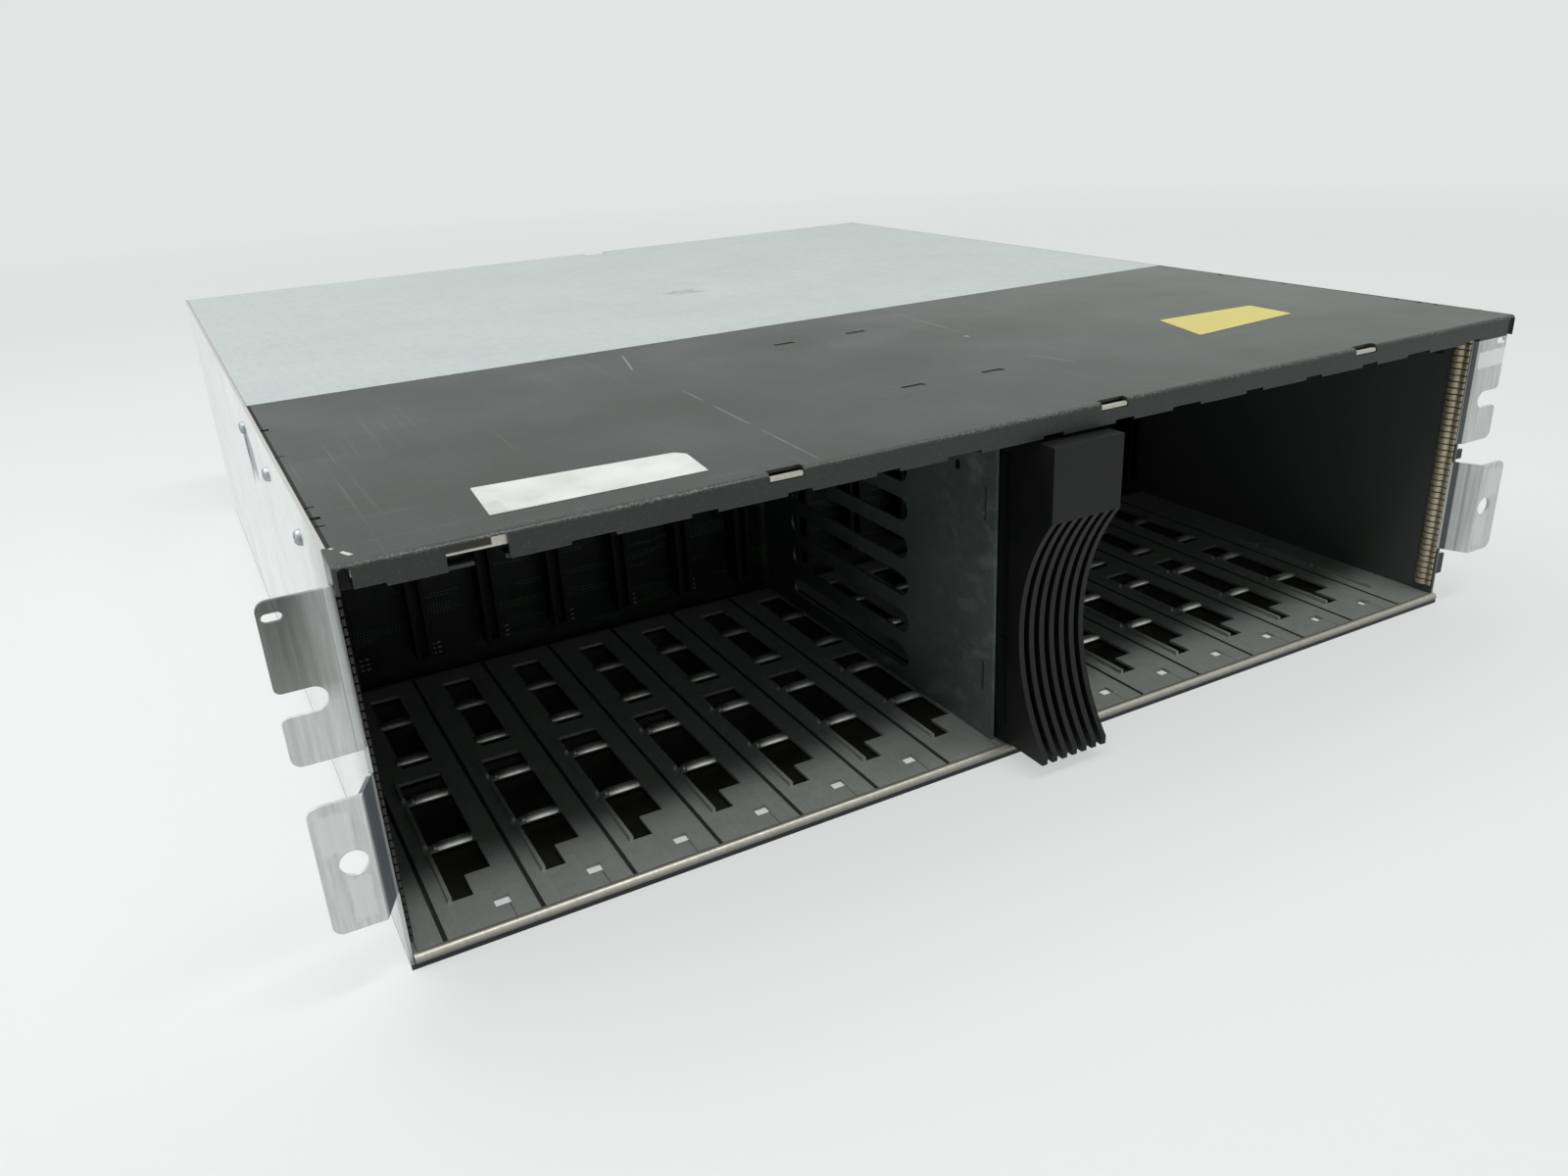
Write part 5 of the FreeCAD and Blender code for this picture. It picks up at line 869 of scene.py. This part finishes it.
for side in (0, 1):
    for number, row in enumerate(screw_rows):
        driven = Matrix.Rotation(first_driven + next_driven * number, 4, "X")
        seat = Matrix.Translation((wall_face * (1 - 2 * side), row, screw_level))
        heads.append(copied(head, seat @ Matrix.Rotation(math.pi * side, 4, "Z") @ driven))
bpy.data.objects.remove(head)
screw_heads = joined("cover_screw_heads", heads)
smooth_over()
fix_on(screw_heads, plated("screw_steel", paint(120, 128, 132), paint(190, 196, 198), 0.95, 900.0)[0],
       "chassis")
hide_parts("cover_screws")


# Drive blank: moulded black plastic, with a scooped front of seven fins under a plain brow, and a dark spring
# clip on its left side that earths it against the divider.
dress(moulded("blank_black", paint(7, 8, 8), paint(14, 15, 15), gloss=0.3), "blank_body")
dress(plated("clip_steel", paint(20, 21, 22), paint(40, 41, 42))[0], "blank_ground_clip")


# Tape and sticker: a strip of white paper tape, one end cut slantwise, and a yellow plastic sticker with
# round corners, both blank, pressed on the drive bay cover by hand.
def cut_sheet(name, corners, gauge, corner_radius):
    """A flat sheet on the cover, cut along straight lines between its corners, with rounded tips."""
    middle = sum((Vector(corner) for corner in corners), Vector((0.0, 0.0))) / len(corners)
    piece = start_piece(name, bpy.ops.mesh.primitive_plane_add, size=0.3, location=(*middle, cover_top))
    settle()
    bpy.ops.object.mode_set(mode="EDIT")
    for here, there in zip(corners, corners[1:] + corners[:1]):
        bpy.ops.mesh.select_all(action="SELECT")
        along_cut = (Vector(there) - Vector(here)).normalized()
        bpy.ops.mesh.bisect(plane_co=(*here, cover_top), plane_no=(along_cut.y, -along_cut.x, 0.0),
                            clear_outer=True)
    bpy.ops.mesh.select_all(action="SELECT")
    bpy.ops.mesh.bevel(offset=corner_radius, affect="VERTICES", segments=4)
    bpy.ops.object.mode_set(mode="OBJECT")
    apply(piece, "SOLIDIFY", thickness=gauge, offset=1.0)
    return piece


tape_corners = [(-0.1818, -0.0008), (-0.1196, -0.0010), (-0.1178, 0.0178), (-0.1205, 0.0212),
                (-0.1800, 0.0252)]
tape_gauge = 0.00012
tape_round = 0.0007
dirt_middle = (-0.1795, 0.004, cover_top)
dirt_half = (0.003, 0.006, 0.002)
tape = cut_sheet("white_tape", tape_corners, tape_gauge, tape_round)
tape_finish, tree, shader, place = new_finish("tape_white")
haze = cloud(tree, place, 60.0, 6.0)
fibre = stretched(tree, place, (200.0, 2500.0, 200.0))
colour = mixed(tree, spread(tree, haze, 0.35, 0.7), paint(216, 218, 216), paint(194, 195, 190))
dirty = patch_of(tree, place, dirt_middle, dirt_half)
plug(tree, shader, (("Base Color", mixed(tree, product(tree, dirty, 0.2), colour, paint(150, 148, 140))),
                    ("Roughness", 0.7), ("Normal", relief(tree, fibre, 0.00003))))
fix_on(tape, tape_finish, "chassis")
sticker_corners = [(0.1092, 0.0383), (0.1664, 0.0441), (0.1681, 0.0673), (0.1188, 0.0697)]
sticker_gauge = 0.00015
sticker_round = 0.0012
sticker = cut_sheet("yellow_sticker", sticker_corners, sticker_gauge, sticker_round)
sticker_finish, tree, shader, place = new_finish("sticker_yellow")
haze = cloud(tree, place, 50.0, 5.0)
plug(tree, shader, (("Base Color", mixed(tree, haze, paint(190, 178, 88), paint(208, 197, 113))),
                    ("Roughness", spread(tree, haze, 0.3, 0.7, 0.4, 0.55)),
                    ("Normal", relief(tree, cloud(tree, place, 900.0, 2.0), 0.00002))))
fix_on(sticker, sticker_finish, "chassis")


# Studio: a pale floor that runs up into a backdrop behind the object, soft lamps overhead and an even
# pale surround. Floor and surround glow for the camera and in reflections, and keep the object's shadow.
floor_reach = 12.0
backdrop_line = 3.2
backdrop_height = 6.0
backdrop_bend = 0.3
studio_floor = start_piece("studio_floor", bpy.ops.mesh.primitive_plane_add, size=2 * floor_reach,
                           location=(0.0, backdrop_line - floor_reach, 0.0))
settle()
bpy.ops.object.mode_set(mode="EDIT")
pick("edges", lambda middle: middle.y > backdrop_line - 0.001)
bpy.ops.mesh.extrude_region_move(TRANSFORM_OT_translate={"value": (0.0, 0.0, backdrop_height)})
pick("edges", lambda middle: middle.y > backdrop_line - 0.001 and middle.z < 0.001)
bpy.ops.mesh.bevel(offset=backdrop_bend, segments=16)
bpy.ops.object.mode_set(mode="OBJECT")
bpy.ops.object.shade_smooth()


def seen_directly(tree):
    """1 for rays from the camera, in reflections and through clear pieces, 0 for light on the object."""
    path = add(tree, "LightPath").outputs
    seen = reckon(tree, "MAXIMUM", path["Is Camera Ray"], path["Is Glossy Ray"])
    return reckon(tree, "MAXIMUM", seen, path["Is Transmission Ray"])


surround = paint(225, 229, 227)
surround_light = 0.185
floor_middle = (0.0, 0.24, 0.0)
glow_near = 0.6
glow_far = 2.0
stage_finish, tree, shader, place = new_finish("studio_white")
plug(tree, shader, (("Base Color", paint(232, 234, 233)), ("Roughness", 0.7)))
distance = add(tree, "VectorMath", place, floor_middle, operation="DISTANCE").outputs["Value"]
far_off = spread(tree, distance, glow_near, glow_far)
glow = add(tree, "Emission", Color=mixed(tree, far_off, paint(231, 234, 233), surround))
floor_glow = spread(tree, far_off, 0.0, 1.0, 0.62, 1.0)
shown = add(tree, "MixShader", product(tree, seen_directly(tree), floor_glow), shader.outputs[0],
            glow.outputs[0])
tree.links.new(shown.outputs[0], tree.nodes["Material Output"].inputs["Surface"])
studio_floor.data.materials.append(stage_finish)

world = bpy.data.worlds.new("studio_surround")
bpy.context.scene.world = world
world.use_nodes = True
tree = world.node_tree
plug(tree, tree.nodes["Background"], (
    ("Color", surround), ("Strength", spread(tree, seen_directly(tree), 0.0, 1.0, surround_light, 1.0))))


def hang_lamp(name, size, energy, place, target):
    lamp = bpy.data.objects.new(name, bpy.data.lights.new(name, "AREA"))
    lamp.data.shape = "RECTANGLE"
    lamp.data.size, lamp.data.size_y = size
    lamp.data.energy = energy
    lamp.location = place
    lamp.rotation_euler = (Vector(target) - lamp.location).to_track_quat("-Z", "Y").to_euler()
    bpy.context.scene.collection.objects.link(lamp)


hang_lamp("left_softbox", (1.6, 1.2), 18.0, (-0.7, 0.5, 1.4), (0.0, 0.15, 0.05))
hang_lamp("right_softbox", (1.0, 1.0), 2.6, (0.9, 0.7, 1.4), (0.2, 0.3, 0.1))
hang_lamp("left_fill", (1.0, 0.8), 2.8, (-1.6, 0.0, 0.6), (-0.22, 0.2, 0.08))
hang_lamp("front_strip", (1.4, 0.2), 13.5, (0.15, -0.56, 1.6), (0.05, 0.05, 0.0))


# Camera: at hand height off the left front corner, with a wide lens, leaning a little to the right.
camera = bpy.data.objects.new("camera", bpy.data.cameras.new("camera"))
camera.data.sensor_width = 36.0
camera.data.lens = 27.51
camera.data.clip_start = 0.01
stand = Vector((-0.2497, -0.2949, 0.2272))
heading = math.radians(27.30)
tilt = math.radians(-23.05)
lean = math.radians(3.17)
camera.matrix_world = (Matrix.Translation(stand) @ Matrix.Rotation(-heading, 4, "Z")
                       @ Matrix.Rotation(math.pi / 2 + tilt, 4, "X") @ Matrix.Rotation(-lean, 4, "Z"))
bpy.context.scene.collection.objects.link(camera)
bpy.context.scene.camera = camera
bpy.context.scene.view_settings.view_transform = "Standard"
